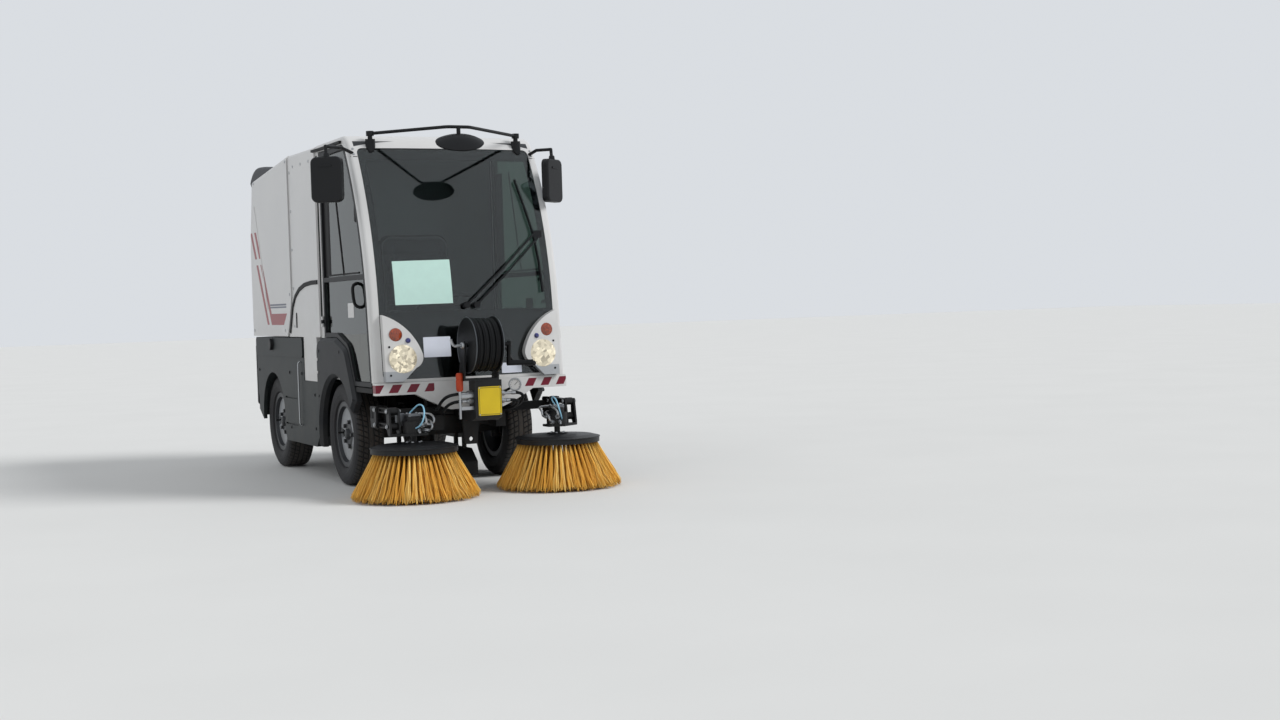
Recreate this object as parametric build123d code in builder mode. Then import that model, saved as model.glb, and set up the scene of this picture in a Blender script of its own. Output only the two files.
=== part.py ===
from build123d import *
from math import asin, atan2, cos, degrees, hypot, radians, sin, sqrt, tan
import os

os.makedirs("parts", exist_ok=True)

# Driving dimensions, in millimetres. The origin is on the ground under the middle of the
# machine, +Y points to its tail and +X to its left.
wheelbase = 1446.0
front_axle = -381.0          # station of the front axle along y
rear_axle = front_axle + wheelbase

seat_gap = 0.3               # between pieces that seat on each other
swing_gap = 6.0              # between pieces that move past each other

# Wheels
wheel_radius = 290.0
tyre_width = 165.0
track_half = 445.5           # middle plane of a wheel from the centre line
bead_radius = 168.0          # where the tyre sits on the rim
rim_lip = 186.0              # outer edge of the rim, over the tyre's bead
rim_width = 128.0
rim_wall = 9.0
rim_windows = 10
hub_radius = 46.0
stub_radius = 19.0
kingpin_line = 395.0         # the front kingpins from the centre line

# Cab
body_half = 547.0            # half width over the cab's sides
cab_wall = 38.0
cab_base = 600.0             # underside of the cab
nose_front = -1128.0         # cab's lowest front edge on the centre line
nose_knee = -1090.0          # where the straight front turns into the curved glass
knee_height = 1000.0
brow_front = -784.0          # where the glass turns into the roof
brow_height = 1880.0
brow_radius = 150.0
plan_radius = 3760.0         # curve of the front seen from above
cab_rear = -100.0
edge_round = 24.0
pillar = 47.0                # width of the pillars beside the windscreen
header = 78.0                # from the roof down to the windscreen
sill = 16.0                  # from the cab's base up to the windscreen
glass_thick = 7.0
door_rear = -158.0           # rear edge of the door opening
door_inset = 46.0            # door opening inside the cab's outline
door_foot = 578.0            # the doors hang a little below the cab's base
door_rim = 24.0              # width of the door's frame round its glass
door_rail = 1168.0           # height of the rail between the two panes
door_rail_width = 26.0
door_thick = 36.0
pane_thick = 5.0
hinge_out = 9.0              # door hinge axis outside the cab's side
hinge_radius = 8.0
hinge_pin = 4.0
hinge_heights = (930.0, 1760.0)
knuckle_length = 20.0        # one of the three barrels of a door hinge
hinge_leaf = 38.0
leaf_thick = 2.6
floor_thick = 24.0
front_box_base = 545.0       # underside of the floor ahead of the wheels

# Front mudguards
guard_outer = body_half + 19.0
guard_recess = body_half - 27.0   # the cab's side is let in to here behind the mudguard
guard_top = 837.0
guard_rear = -20.0
guard_foot = 200.0
guard_round = 18.0
arch_radius = 327.0

# Cowl, hopper and tanks
hopper_half = body_half + 18.0
cowl_rear = 494.0
hopper_front = cowl_rear + swing_gap
cowl_base = 840.0
cowl_tab_front = guard_rear + 3.0
cowl_tab_rear = 269.0
cowl_tab_base = 580.0
seam_turn = 1080.0           # where the seam to the hopper leaves the vertical
seam_foot = 599.0            # station of that seam at the cowl's base
top_front = 1944.0
top_rear = 1860.0
hopper_base = 842.0
rear_overhang = 439.0        # from the rear axle to the hopper's tail
hopper_tail = rear_axle + rear_overhang
hopper_brow = hopper_tail - 104.0   # station of the top's rear edge
hopper_wall = 34.0
tip_axis_y = hopper_tail - 24.0
tip_axis_z = 806.0
tip_pin = 14.0
gate_axis_y = hopper_tail - 17.0
gate_axis_z = 1655.0
gate_barrel = 11.0
gate_pin = 6.0
gate_thick = 26.0
gate_foot = 900.0
gate_half = hopper_half - 65.0
hood_half = hopper_half - 45.0
hood_front = hopper_tail - 482.0
hood_tip = hopper_tail + 136.0
hood_rise = 12.0             # the hood's crown over the front of the hopper's top
hood_crown = top_front + hood_rise
hood_round = 30.0
tank_front = 272.0
tank_rear = hopper_tail - 50.0
tank_top = 835.0
tank_inner = 310.0
tank_outer = body_half + 13.0
tank_foot = 195.0
spat_radius = 282.0          # arch of the tank round the rear wheel
spat_lift = 38.0             # its centre over the wheel's
spat_lead = 18.0             # and ahead of the wheel's

# Chassis and lift cylinder
rail_inner = 150.0
rail_outer = 205.0
rail_base = 330.0
rail_top = 410.0
rail_front = -1040.0
rail_rear = hopper_tail + 2.0
beam_depth = 80.0
barrel_y = tip_axis_y - 330.0
barrel_z = 352.0
rod_y = tip_axis_y - 110.0
rod_z = tip_axis_z - 10.0
rod_stroke = 94.0
rod_eye = 18.0               # wide round its pin, as a link that floats
barrel_radius = 30.0
rod_radius = 16.0
cylinder_pin = 10.0
lug_inner = 24.0             # half the gap between the lugs of a cylinder pin

# Brushes and their arms
brush_x = 406.0
brush_y = -1286.0
disc_radius = 227.0
disc_top = 290.0
disc_thick = 46.0
bristle_reach = 353.0        # radius of the bristles' tips
bristle_floor = 3.0
kingpin_x = 500.0
kingpin_y = -962.0
kingpin_radius = 14.0
arm_root = -1024.0
arm_tip = -1236.0
lower_pivot = 378.0
upper_pivot = 458.0
arm_half = 18.0
eye_radius = 20.0
arm_pin = 9.0
cheek = 10.0                 # side plates of the arms' clevises
motor_radius = 56.0
motor_base = 330.0
motor_top = 432.0
shaft_radius = 16.0
pin_gap = 0.3

# Hose reel on the nose
reel_x = -36.0
reel_y = -1331.0
reel_z = 788.0
reel_radius = 148.0
reel_half = 76.0

sides = (("right", -1), ("left", 1))

# Curve of the cab's front: a straight nose, an arc for the glass and an arc for the brow
nose_slope = atan2(nose_knee - nose_front, knee_height - cab_base)
glass_chord = hypot(brow_front - nose_knee, brow_height - knee_height)
glass_turn = atan2(brow_front - nose_knee, brow_height - knee_height) - nose_slope
glass_radius = glass_chord / (2 * sin(glass_turn))
brow_slope = nose_slope + 2 * glass_turn
roof_height = brow_height + brow_radius * (1 - sin(brow_slope))
roof_front = brow_front + brow_radius * cos(brow_slope)
plan_axis = nose_front + plan_radius
plan_sweep = 1.25 * asin(body_half / (plan_axis - cab_rear - 400))
front_cut = 640.0            # the front's cutting shapes reach from here to ahead of the nose
front_reach = 700.0
side_drop = plan_radius - sqrt(plan_radius**2 - body_half**2)


def front_at(x, z):
    """Station of the cab's front surface at a place seen from ahead."""
    if z <= knee_height:
        centre = nose_front + max(z - cab_base, 0) * (nose_knee - nose_front) / (knee_height - cab_base)
    else:
        lean = asin(sin(nose_slope) + (z - knee_height) / glass_radius)
        centre = nose_knee + glass_radius * (cos(nose_slope) - cos(lean))
    radius = plan_axis - centre
    return plan_axis - sqrt(radius**2 - x**2)


def cab_outline(base, rear, shift=0.0, inset=0.0):
    """Side outline of the cab on the centre line, moved back by shift and drawn in by inset."""
    knee = (nose_knee + shift + inset * cos(nose_slope), knee_height - inset * sin(nose_slope))
    brow = (brow_front + shift + inset * cos(brow_slope), brow_height - inset * sin(brow_slope))
    foot = (knee[0] - (knee[1] - base - inset) * tan(nose_slope), base + inset)
    roof = (roof_front + shift, roof_height - inset)
    with BuildSketch() as outline:
        with BuildLine():
            nose = Line(foot, knee)
            glass = TangentArc(knee, brow, tangent=nose % 1)
            TangentArc(brow, roof, tangent=glass % 1)
            Polyline(roof, (rear - inset, roof_height - inset), (rear - inset, base + inset), foot)
        make_face()
    return outline.sketch_local


def nose_body(inset, base=cab_base):
    """Round body whose front is the cab's curved front, drawn in by inset all over."""
    section = cab_outline(base, cab_rear + 400, inset=inset)
    start = Plane(
        origin=(-plan_axis * sin(plan_sweep), plan_axis * (1 - cos(plan_sweep)), 0),
        x_dir=(sin(plan_sweep), cos(plan_sweep), 0),
        z_dir=(cos(plan_sweep), -sin(plan_sweep), 0),
    )
    with BuildPart() as body:
        with BuildSketch(start):
            add(section)
        revolve(axis=Axis((0, plan_axis, 0), (0, 0, 1)), revolution_arc=2 * degrees(plan_sweep))
    return body.part


def cab_block(inset, base=cab_base, rear=cab_rear):
    """The cab's outer form, drawn in by inset, as one closed block."""
    with BuildPart() as block:
        add(nose_body(inset, base))
        width = 2 * (body_half - inset)
        depth = rear - inset - (nose_front - 200)
        with Locations((0, rear - inset - depth / 2, 1200)):
            Box(width, depth, 1600, mode=Mode.INTERSECT)
    return block.part


def side_outline(inset, rear=door_rear, foot=door_foot):
    """The cab's outline as its flat side shows it, drawn in by inset, cut off at rear and foot."""
    return cab_outline(foot - inset, rear + inset, shift=side_drop, inset=inset)


def guard_shape(grow=0.0):
    """Side outline of a front mudguard without its wheel arch."""
    with BuildSketch() as outline:
        with BuildLine():
            Polyline(
                (guard_rear, guard_foot),
                (guard_rear, guard_top),
                (front_axle - 30, guard_top),
                (front_axle - 230, guard_top - 62),
                (front_axle - 385, guard_top - 340),
                (front_axle - 352, guard_top - 362),
                (front_axle - 60, guard_foot),
                close=True,
            )
        make_face()
        fillet(outline.vertices().group_by(Axis.Y)[-1], 90)
        fillet(outline.vertices().filter_by(lambda v: abs(v.Y - guard_top + 62) < 1), 90)
        if grow:
            offset(amount=grow, kind=Kind.INTERSECTION)
    return outline.sketch_local


def bar(start, end, width, thick, across=(1, 0, 0)):
    """Straight flat bar between two places, its width along the direction across."""
    line = Vector(*end) - Vector(*start)
    with BuildPart() as piece:
        with BuildSketch(Plane(origin=start, x_dir=across, z_dir=line)):
            RectangleRounded(width, thick, 0.3 * min(width, thick))
        extrude(amount=line.length)
    return piece.part


def on_glass(x, z, out):
    """Place ahead of the windscreen by out."""
    return (x, front_at(x, z) - out, z)


# Cab shell: roof, pillars and header round the windscreen, sides let in for the mudguards
cab_outer = cab_block(0)
with BuildPart() as cab_shell:
    add(cab_outer)
    side_edges = cab_shell.part.edges().filter_by(
        lambda e: abs(abs(e.center().X) - body_half) < 0.01
        and abs(e.center().Y - cab_rear) > 1
        and e.center().Z > cab_base + 1
    )
    fillet(side_edges, edge_round)
    add(cab_block(cab_wall, base=cab_base - 2 * cab_wall), mode=Mode.SUBTRACT)
    with BuildSketch(Plane.XZ.offset(front_cut)):
        with Locations((0, (cab_base + sill + roof_height - header) / 2)):
            RectangleRounded(2 * (body_half - pillar), roof_height - header - cab_base - sill, 30)
    extrude(amount=front_reach, mode=Mode.SUBTRACT)
    with BuildSketch(Plane.YZ.offset(-body_half - 20)):
        add(side_outline(door_inset, foot=cab_base - 2 * cab_wall))
        add(guard_shape(seat_gap), mode=Mode.SUBTRACT)
    extrude(amount=2 * body_half + 40, mode=Mode.SUBTRACT)
    for side in (-1, 1):
        with BuildSketch(Plane.YZ.offset(side * (guard_recess - seat_gap))):
            add(guard_shape(seat_gap))
        extrude(amount=side * 80, mode=Mode.SUBTRACT)
    for side in (-1, 1):
        for height in hinge_heights:
            axis_x = side * (body_half + hinge_out)
            with BuildSketch(Plane.XY.offset(height - 1.5 * knuckle_length)):
                with Locations((axis_x, door_rear)):
                    Circle(hinge_radius)
                with Locations((side * (body_half + leaf_thick / 2), door_rear + hinge_leaf / 2)):
                    Rectangle(leaf_thick, hinge_leaf)
                with Locations((side * (body_half + hinge_out / 2), door_rear + hinge_radius / 2)):
                    Rectangle(hinge_out, hinge_radius)
            extrude(amount=3 * knuckle_length)
            with BuildSketch(Plane.XY.offset(height - knuckle_length / 2 - pin_gap)):
                with Locations((axis_x, door_rear)):
                    Circle(hinge_radius + 1)
                with Locations((side * (body_half + hinge_radius + seat_gap), door_rear)):
                    Rectangle(2 * hinge_radius, 2 * hinge_radius)
            extrude(amount=knuckle_length + 2 * pin_gap, mode=Mode.SUBTRACT)
            with Locations((axis_x, door_rear, height)):
                Cylinder(hinge_pin, 2 * knuckle_length)
cab_shell.part.label = "cab_shell"

# Windscreen: one curved pane flush with the cab's front
with BuildPart() as windscreen:
    add(nose_body(2.0))
    add(nose_body(2.0 + glass_thick), mode=Mode.SUBTRACT)
    with BuildSketch(Plane.XZ.offset(front_cut)):
        with Locations((0, (cab_base + sill + roof_height - header) / 2)):
            RectangleRounded(
                2 * (body_half - pillar - seat_gap),
                roof_height - header - cab_base - sill - 2 * seat_gap, 30 - seat_gap)
    extrude(amount=front_reach, mode=Mode.INTERSECT)
windscreen.part.label = "windscreen"

# Floor pan with the box ahead of the front wheels
box_front = nose_front + 90
box_rear = front_axle - wheel_radius - 76
with BuildPart() as cab_floor:
    inside = body_half - cab_wall - seat_gap
    with BuildSketch(Plane.XY.offset(cab_base)):
        with Locations((0, (box_front + cab_rear - cab_wall - seat_gap) / 2)):
            Rectangle(2 * inside, cab_rear - cab_wall - seat_gap - box_front)
    extrude(amount=floor_thick)
    with BuildSketch(Plane.XY.offset(front_box_base)):
        with Locations((0, (box_front + box_rear) / 2)):
            Rectangle(2 * body_half - 4, box_rear - box_front)
    extrude(amount=door_foot - swing_gap - front_box_base)
    with BuildSketch(Plane.XY.offset(front_box_base)):
        with Locations((0, (box_front + box_rear) / 2)):
            Rectangle(2 * inside, box_rear - box_front)
    extrude(amount=cab_base + floor_thick - front_box_base)
cab_floor.part.label = "cab_floor"

# Doors, hinged at their rear edges, each a frame with two panes
for name, side in sides:
    door_edge = door_inset + swing_gap - 1
    with BuildPart() as door:
        with BuildSketch(Plane.YZ.offset(side * body_half)):
            add(side_outline(door_edge, rear=door_rear - swing_gap + 1))
            add(guard_shape(swing_gap - 1), mode=Mode.SUBTRACT)
        extrude(amount=-side * door_thick)
        with BuildSketch(Plane.YZ.offset(side * (body_half + 1))):
            add(side_outline(door_edge + door_rim, rear=door_rear - swing_gap + 1 - door_rim,
                             foot=door_foot + door_rim))
            add(guard_shape(swing_gap - 1 + door_rim), mode=Mode.SUBTRACT)
            with Locations((front_axle - 200, door_rail)):
                Rectangle(1200, door_rail_width, mode=Mode.SUBTRACT)
        extrude(amount=-side * (door_thick + 2), mode=Mode.SUBTRACT)
        for height in hinge_heights:
            with BuildSketch(Plane.XY.offset(height - knuckle_length / 2)):
                with Locations((side * (body_half + hinge_out), door_rear)):
                    Circle(hinge_radius)
                with Locations((side * (body_half + leaf_thick / 2), door_rear - hinge_leaf / 2)):
                    Rectangle(leaf_thick, hinge_leaf)
                with Locations((side * (body_half + hinge_out / 2), door_rear - hinge_radius / 2)):
                    Rectangle(hinge_out, hinge_radius)
            extrude(amount=knuckle_length)
            with Locations((side * (body_half + hinge_out), door_rear, height)):
                Cylinder(hinge_pin + pin_gap, 2 * knuckle_length, mode=Mode.SUBTRACT)
    door.part.label = f"door_{name}"
    export_step(door.part, f"parts/door_{name}.step")

    with BuildPart() as panes:
        with BuildSketch(Plane.YZ.offset(side * (body_half - door_thick / 2 - pane_thick / 2))):
            add(side_outline(door_edge + door_rim + seat_gap, rear=door_rear - swing_gap + 1 - door_rim - seat_gap,
                             foot=door_foot + door_rim + seat_gap))
            add(guard_shape(swing_gap - 1 + door_rim + seat_gap), mode=Mode.SUBTRACT)
            with Locations((front_axle - 200, door_rail)):
                Rectangle(1200, door_rail_width + 2 * seat_gap, mode=Mode.SUBTRACT)
        extrude(amount=side * pane_thick)
    panes.part.label = f"door_glass_{name}"
    export_step(panes.part, f"parts/door_glass_{name}.step")

for piece in (cab_shell, windscreen, cab_floor):
    export_step(piece.part, f"parts/{piece.part.label}.step")

# Lamp pods on the lower corners of the windscreen, their lamps and indicators
pod_outer = body_half - pillar - 3
pod_swell = 42.0
pod_inner = 294.0
lamp_x = pod_outer - 97.0
lamp_z = 725.0
lamp_radius = 75.0
lamp_depth = 44.0
blinker_x = pod_outer - 65.0
blinker_z = 854.0
blinker_radius = 35.0
with BuildPart() as headlamp_pods:
    add(nose_body(-pod_swell, base=cab_base - 4))
    with BuildSketch(Plane.XZ.offset(front_cut)):
        with BuildLine():
            swell = ThreePointArc((pod_outer, 960), (pod_outer - 129, 877), (pod_inner, 752))
            chin = TangentArc(swell @ 1, (pod_inner + 38, 676), tangent=swell % 1)
            Polyline(chin @ 1, (pod_outer - 95, cab_base + 6), (pod_outer, cab_base + 6), swell @ 0)
        make_face()
        mirror(about=Plane.YZ)
    extrude(amount=front_reach, mode=Mode.INTERSECT)
    add(nose_body(-seat_gap, base=cab_base - 200), mode=Mode.SUBTRACT)
    for side in (-1, 1):
        for across, height, radius in ((lamp_x, lamp_z, lamp_radius), (blinker_x, blinker_z, blinker_radius)):
            face = front_at(across, height) - pod_swell
            with BuildSketch(Plane.XZ.offset(-face + 30)):
                with Locations((side * across, height)):
                    Circle(radius + seat_gap)
            extrude(amount=-30 - 24, mode=Mode.SUBTRACT)
headlamp_pods.part.label = "headlamp_pods"

for label, across, height, radius, dome in (
        ("headlamps", lamp_x, lamp_z, lamp_radius, 9.0),
        ("indicators", blinker_x, blinker_z, blinker_radius, 8.0)):
    face = front_at(across, height) - pod_swell
    ball = (radius**2 + dome**2) / (2 * dome)
    half_way = asin(radius / ball) / 2
    with BuildPart() as lamps:
        for side in (-1, 1):
            with BuildSketch(Plane(origin=(side * across, face, height), x_dir=(1, 0, 0), z_dir=(0, 0, 1))):
                with BuildLine():
                    Polyline((0, -dome), (0, 24 - seat_gap), (radius, 24 - seat_gap), (radius, 0))
                    ThreePointArc((radius, 0), (ball * sin(half_way), ball * (1 - cos(half_way)) - dome), (0, -dome))
                make_face()
            revolve(axis=Axis((side * across, face, height), (0, 1, 0)))
    lamps.part.label = label
    export_step(lamps.part, f"parts/{label}.step")

# Bumper: a curved bar with a deeper middle
bumper_base = 535.0
bumper_drop = 446.0
bumper_top = front_box_base + 54.5
with BuildPart() as bumper:
    add(nose_body(-14, base=bumper_drop - 30))
    add(nose_body(34, base=bumper_drop - 200), mode=Mode.SUBTRACT)
    with BuildSketch(Plane.XZ.offset(front_cut)):
        with BuildLine():
            edge = Line((0, bumper_drop), (150, bumper_drop))
            ramp = ThreePointArc(edge @ 1, (235, 482), (335, bumper_base))
            Polyline(ramp @ 1, (body_half, bumper_base), (body_half, bumper_top), (0, bumper_top), edge @ 0)
        make_face()
        mirror(about=Plane.YZ)
    extrude(amount=front_reach, mode=Mode.INTERSECT)
bumper.part.label = "bumper"

# Dashboard, steering wheel and driver's place
dash_front = nose_front + 104
dash_rear = -850.0
dash_base = 700.0
dash_top = 966.0
inside = body_half - cab_wall - seat_gap
with BuildPart() as dashboard:
    with BuildSketch(Plane.YZ.offset(-inside)):
        with BuildLine():
            Polyline((dash_front, dash_base), (dash_front + 14, dash_top - 16), (dash_front + 44, dash_top))
            ThreePointArc((dash_front + 44, dash_top), ((dash_front + dash_rear) / 2, dash_top + 4),
                          (dash_rear - 26, dash_top - 8))
            Polyline((dash_rear - 26, dash_top - 8), (dash_rear, dash_top - 40),
                     (dash_rear - 34, dash_base + 90), (dash_rear - 34, dash_base), (dash_front, dash_base))
        make_face()
    extrude(amount=2 * inside)
    with BuildSketch(Plane.XZ.offset(-dash_rear)):
        with Locations((250, 850)):
            RectangleRounded(260, 120, 16)
    extrude(amount=-14, mode=Mode.SUBTRACT)
dashboard.part.label = "dashboard"

wheel_hub = Vector(0, -745, 985)
column_foot = Vector(0, -815, cab_base + floor_thick + seat_gap)
column_line = (wheel_hub - column_foot).normalized()
rim_plane = Plane(origin=wheel_hub, x_dir=(1, 0, 0), z_dir=(0, 0.42, 0.91))
with BuildPart() as steering_wheel:
    with BuildSketch(Plane(origin=wheel_hub + rim_plane.x_dir * 178, x_dir=rim_plane.x_dir,
                           z_dir=rim_plane.y_dir)):
        Circle(14)
    revolve(axis=Axis(wheel_hub, rim_plane.z_dir))
    with BuildSketch(rim_plane.offset(-9)):
        Circle(44)
        for turn in (0, 120, 240):
            with Locations(Rotation(0, 0, turn + 30) * Location((95, 0))):
                Rectangle(174, 26)
    extrude(amount=16)
    with BuildSketch(Plane(origin=column_foot, x_dir=(1, 0, 0), z_dir=column_line)):
        Circle(26)
    extrude(amount=(wheel_hub - column_foot).length)
    with BuildSketch(Plane.XY.offset(column_foot.Z)):
        with Locations((0, column_foot.Y)):
            RectangleRounded(150, 90, 20)
    extrude(amount=40)
    split(bisect_by=Plane.XY.offset(column_foot.Z), keep=Keep.TOP)
steering_wheel.part.label = "steering_wheel"

cushion_half = 235.0
cushion_y = -420.0
cushion_z = 820.0
cushion_thick = 120.0
back_tall = 620.0
back_lean = 8.0
with BuildPart() as driver_seat:
    with BuildSketch(Plane.YZ.offset(-cushion_half)):
        with Locations((cushion_y, cushion_z)):
            RectangleRounded(400, cushion_thick, 40)
    extrude(amount=2 * cushion_half)
    with BuildSketch(Plane.YZ.offset(-cushion_half + 15)):
        with Locations(Location((cushion_y + 188, cushion_z + back_tall / 2), -back_lean)):
            RectangleRounded(84, back_tall, 38)
    extrude(amount=2 * cushion_half - 30)
    with BuildSketch(Plane.XY.offset(cab_base + floor_thick + seat_gap)):
        with Locations((0, cushion_y + 20)):
            RectangleRounded(360, 330, 30)
    extrude(amount=cushion_z - 20 - cab_base - floor_thick)
driver_seat.part.label = "driver_seat"

# Front mudguards, outside the cab's let-in sides
with BuildPart() as front_mudguards:
    for side in (-1, 1):
        with BuildSketch(Plane.YZ.offset(side * guard_recess)):
            add(guard_shape())
            with Locations((front_axle, wheel_radius)):
                Circle(arch_radius, mode=Mode.SUBTRACT)
        extrude(amount=side * (guard_outer - guard_recess))
    outer_edges = front_mudguards.edges().filter_by(
        lambda e: abs(abs(e.center().X) - guard_outer) < 0.01
        and hypot(e.center().Y - front_axle, e.center().Z - wheel_radius) > arch_radius + 2)
    chamfer(outer_edges, guard_round)
    for side in (-1, 1):
        with BuildSketch(Plane.YZ.offset(side * guard_outer)):
            with Locations((front_axle, wheel_radius)):
                Circle(arch_radius + guard_round)
        extrude(amount=-side * guard_round, taper=45, mode=Mode.SUBTRACT)
    for side in (-1, 1):
        with BuildSketch(Plane.YZ.offset(side * guard_outer)):
            for slot_drop in (125, 200):
                with Locations((guard_rear - 20, guard_top - slot_drop)):
                    RectangleRounded(120, 16, 7)
        extrude(amount=-side * 9, mode=Mode.SUBTRACT)
front_mudguards.part.label = "front_mudguards"

# Cowl behind the cab
with BuildPart() as rear_cowl:
    with BuildSketch(Plane.YZ.offset(-hopper_half + 8)):
        with BuildLine():
            up = Polyline((cowl_tab_rear, cowl_tab_base), (cowl_tab_front, cowl_tab_base),
                          (cowl_tab_front, cowl_base), (cab_rear + seat_gap, cowl_base),
                          (cab_rear + seat_gap, roof_height - 8), (cowl_rear, top_front), (cowl_rear, seam_turn))
            sweep_down = ThreePointArc(up @ 1, (cowl_rear + 42, seam_turn - 128), (seam_foot, cowl_base))
            Polyline(sweep_down @ 1, (cowl_tab_rear, cowl_base), (cowl_tab_rear, cowl_tab_base))
        make_face()
    extrude(amount=2 * (hopper_half - 8))
    fillet(rear_cowl.edges().filter_by(lambda e: abs(e.center().Z - (roof_height + top_front) / 2) < 12
                                       and abs(e.center().X) > 500 and e.length > 300), edge_round)
    with BuildSketch(Plane.XY.offset(cowl_tab_base - 5)):
        with Locations((0, (cowl_tab_front + cowl_tab_rear) / 2)):
            Rectangle(2 * hopper_half - 90, cowl_tab_rear - cowl_tab_front + 20)
    extrude(amount=cowl_base - cowl_tab_base + 5, mode=Mode.SUBTRACT)
rear_cowl.part.label = "rear_cowl"

# Water tanks beside the engine and over the rear wheels, with a moulded lid line
lid_base = 715.0
with BuildPart() as water_tanks:
    for side in (-1, 1):
        with BuildSketch(Plane.YZ.offset(side * tank_inner)):
            with BuildLine():
                Polyline((tank_front, lid_base), (tank_front, cowl_tab_base - seat_gap),
                         (cowl_tab_front, cowl_tab_base - seat_gap), (cowl_tab_front, tank_foot + 60),
                         (cowl_tab_front + 60, tank_foot),
                         (rear_axle - 330, tank_foot), (rear_axle - 300, tank_foot + 60),
                         (rear_axle + 190, tank_foot + 60), (tank_rear - 18, tank_foot + 165),
                         (tank_rear - 16, tank_foot + 255), (tank_rear, tank_foot + 268),
                         (tank_rear, lid_base), close=True)
            make_face()
        extrude(amount=side * (tank_outer - tank_inner))
        with BuildSketch(Plane.YZ.offset(side * tank_inner)):
            with Locations(((tank_front + tank_rear) / 2 + 8, (lid_base + tank_top) / 2)):
                RectangleRounded(tank_rear - tank_front - 16, tank_top - lid_base, 26)
        extrude(amount=side * (tank_outer + 5 - tank_inner))
        with BuildSketch(Plane.YZ.offset(side * tank_inner)):
            with Locations(((tank_front + tank_rear) / 2, lid_base)):
                Rectangle(tank_rear - tank_front, 60)
        extrude(amount=side * (tank_outer - 8 - tank_inner))
    for side in (-1, 1):
        with BuildSketch(Plane.YZ.offset(side * (tank_inner - 5))):
            with Locations((rear_axle, wheel_radius)):
                Circle(wheel_radius + 14)
        extrude(amount=side * (track_half + tyre_width / 2 + 10 - tank_inner + 5), mode=Mode.SUBTRACT)
        with BuildSketch(Plane.YZ.offset(side * (tank_inner - 5))):
            with Locations((rear_axle - spat_lead, wheel_radius + spat_lift)):
                Circle(spat_radius)
            with Locations((rear_axle - spat_lead, (wheel_radius + spat_lift) / 2)):
                Rectangle(2 * spat_radius, wheel_radius + spat_lift)
        extrude(amount=side * (tank_outer + 30 - tank_inner), mode=Mode.SUBTRACT)
        with BuildSketch(Plane.YZ.offset(side * (tank_outer - 8))):
            for level in (tank_foot + 107, tank_foot + 270):
                with Locations(((cowl_tab_rear + rear_axle - 290) / 2 + 78, level)):
                    Rectangle(292, 11)
        extrude(amount=side * 20, mode=Mode.SUBTRACT)
water_tanks.part.label = "water_tanks"

# Tail panel with its grille, and the tail lamps
tail_top = 792.0
tail_foot = 380.0
tail_front = rail_rear + seat_gap
tail_thick = 20.0
with BuildPart() as tail_panel:
    with BuildSketch(Plane.XZ.offset(-tail_front - tail_thick)):
        with Locations((0, (tail_top + tail_foot) / 2)):
            RectangleRounded(2 * tank_outer - 20, tail_top - tail_foot, 24)
    extrude(amount=tail_thick)
    with BuildSketch(Plane.XZ.offset(-tail_front - tail_thick)):
        with Locations((0, (tail_top + tail_foot) / 2 - 20)):
            with GridLocations(0, 36, 1, 8):
                RectangleRounded(560, 20, 9)
    extrude(amount=tail_thick, mode=Mode.SUBTRACT)
tail_panel.part.label = "tail_panel"

with BuildPart() as tail_lamps:
    with BuildSketch(Plane.XZ.offset(-tail_front - tail_thick - seat_gap)):
        with Locations((-tank_outer + 90, 650), (tank_outer - 90, 650)):
            RectangleRounded(90, 210, 18)
    extrude(amount=-24)
    chamfer(tail_lamps.faces().sort_by(Axis.Y)[-2:].edges(), 5)
tail_lamps.part.label = "tail_lamps"

for piece in (headlamp_pods, bumper, dashboard, steering_wheel, driver_seat, front_mudguards,
              rear_cowl, water_tanks, tail_panel, tail_lamps):
    export_step(piece.part, f"parts/{piece.part.label}.step")

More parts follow.
